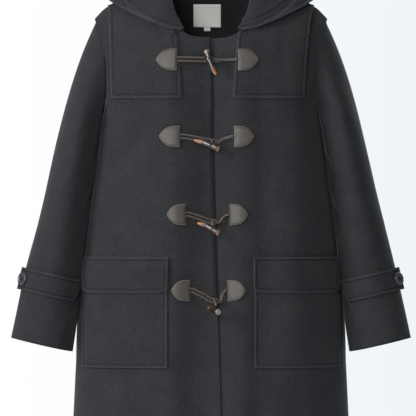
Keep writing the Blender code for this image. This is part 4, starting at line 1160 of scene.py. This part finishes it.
class COAT_OT_stage(bpy.types.Operator):
    """Sets the pale floor, the soft light and the camera of the photograph"""
    bl_idname = "coat.stage"
    bl_label = "Stage"

    def execute(self, context):
        stage = context.scene.coat_stage
        clear_selection()
        bpy.ops.mesh.primitive_circle_add(vertices=FLOOR_SIDES, radius=FLOOR_RADIUS, fill_type="NGON",
                                          location=(0.0, 0.0, stage.floor_drop))
        floor = context.active_object
        floor.name = "studio_floor"
        bpy.ops.object.transform_apply(location=True, rotation=True, scale=True)
        floor.data.materials.append(stage_material())
        context.scene.view_settings.view_transform = "Standard"
        # The room lights the coat less than its pale walls look, as the lamps give most of the light.
        world = bpy.data.worlds.new("pale_studio")
        context.scene.world = world
        world.use_nodes = True
        tree = world.node_tree
        sky = tree.nodes["Background"]
        seen = add_node(tree, "ShaderNodeLightPath")
        strength = add_node(tree, "ShaderNodeMapRange", {"Value": seen.outputs["Is Camera Ray"]},
                            in_To_Min=stage.room_light)
        tree.links.new(strength.outputs["Result"], sky.inputs["Strength"])
        # The right half of the backdrop is painted a little darker and cooler, a painted shade standing
        # for the coat's shadow on the wall.
        way = add_node(tree, "ShaderNodeTexCoord").outputs["Generated"]
        split = add_node(tree, "ShaderNodeSeparateXYZ", {"Vector": way})
        span = add_node(tree, "ShaderNodeMapRange", {"Value": split.outputs["X"]}, in_From_Min=-0.03,
                        in_From_Max=0.03)
        ramp = add_node(tree, "ShaderNodeValToRGB", {"Fac": span.outputs["Result"]})
        set_ramp(ramp, [(0.0, linear("#FFFFFF")), (1.0, linear("#F0F4F8"))])
        tree.links.new(ramp.outputs["Color"], sky.inputs["Color"])
        for lamp in LAMPS:
            light = bpy.data.lights.new(lamp.name, "AREA")
            light.energy = stage.key * lamp.share
            light.size = lamp.size
            stand = bpy.data.objects.new(lamp.name, light)
            context.scene.collection.objects.link(stand)
            stand.location = lamp.place
            ray = Vector(lamp.aim) - Vector(lamp.place)
            stand.rotation_euler = ray.to_track_quat("-Z", "Y").to_euler()
        camera = bpy.data.cameras.new("camera")
        camera.sensor_width = SENSOR
        camera.lens = SENSOR * stage.distance / stage.picture
        camera.clip_end = FARTHEST
        eye = bpy.data.objects.new("camera", camera)
        context.scene.collection.objects.link(eye)
        eye.location = (VIEW_X, -stage.distance - COAT_FRONT, VIEW_Z)
        eye.rotation_euler = (math.radians(90), 0.0, 0.0)
        context.scene.camera = eye
        return {"FINISHED"}


class COAT_PT_panel(bpy.types.Panel):
    """Lists the coat's pieces in the order in which they are made"""
    bl_idname = "COAT_PT_panel"
    bl_label = "Duffle coat"
    bl_space_type = "VIEW_3D"
    bl_region_type = "UI"
    bl_category = "Coat"

    def draw(self, context):
        for group in (context.scene.coat_cloth, context.scene.coat_trim, context.scene.coat_stage):
            column = self.layout.column()
            for key in group.bl_rna.properties.keys():
                if key not in {"rna_type", "name"}:
                    column.prop(group, key)
        for step in STEPS:
            self.layout.operator(step.bl_idname)


STEPS = (COAT_OT_stage, COAT_OT_body, COAT_OT_sleeves, COAT_OT_hood, COAT_OT_yokes, COAT_OT_pockets,
         COAT_OT_tabs, COAT_OT_buttons, COAT_OT_patches, COAT_OT_cords, COAT_OT_toggles, COAT_OT_label)
CLASSES = (CoatCloth, CoatTrim, CoatStage) + STEPS + (COAT_PT_panel,)


def register():
    for group in CLASSES:
        bpy.utils.register_class(group)
    bpy.types.Scene.coat_cloth = bpy.props.PointerProperty(type=CoatCloth)
    bpy.types.Scene.coat_trim = bpy.props.PointerProperty(type=CoatTrim)
    bpy.types.Scene.coat_stage = bpy.props.PointerProperty(type=CoatStage)


def unregister():
    del bpy.types.Scene.coat_cloth, bpy.types.Scene.coat_trim, bpy.types.Scene.coat_stage
    for group in reversed(CLASSES):
        bpy.utils.unregister_class(group)


def main():
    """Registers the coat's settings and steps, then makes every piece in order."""
    register()
    for step in STEPS:
        category, name = step.bl_idname.split(".")
        getattr(getattr(bpy.ops, category), name)()


if __name__ == "__main__":
    main()
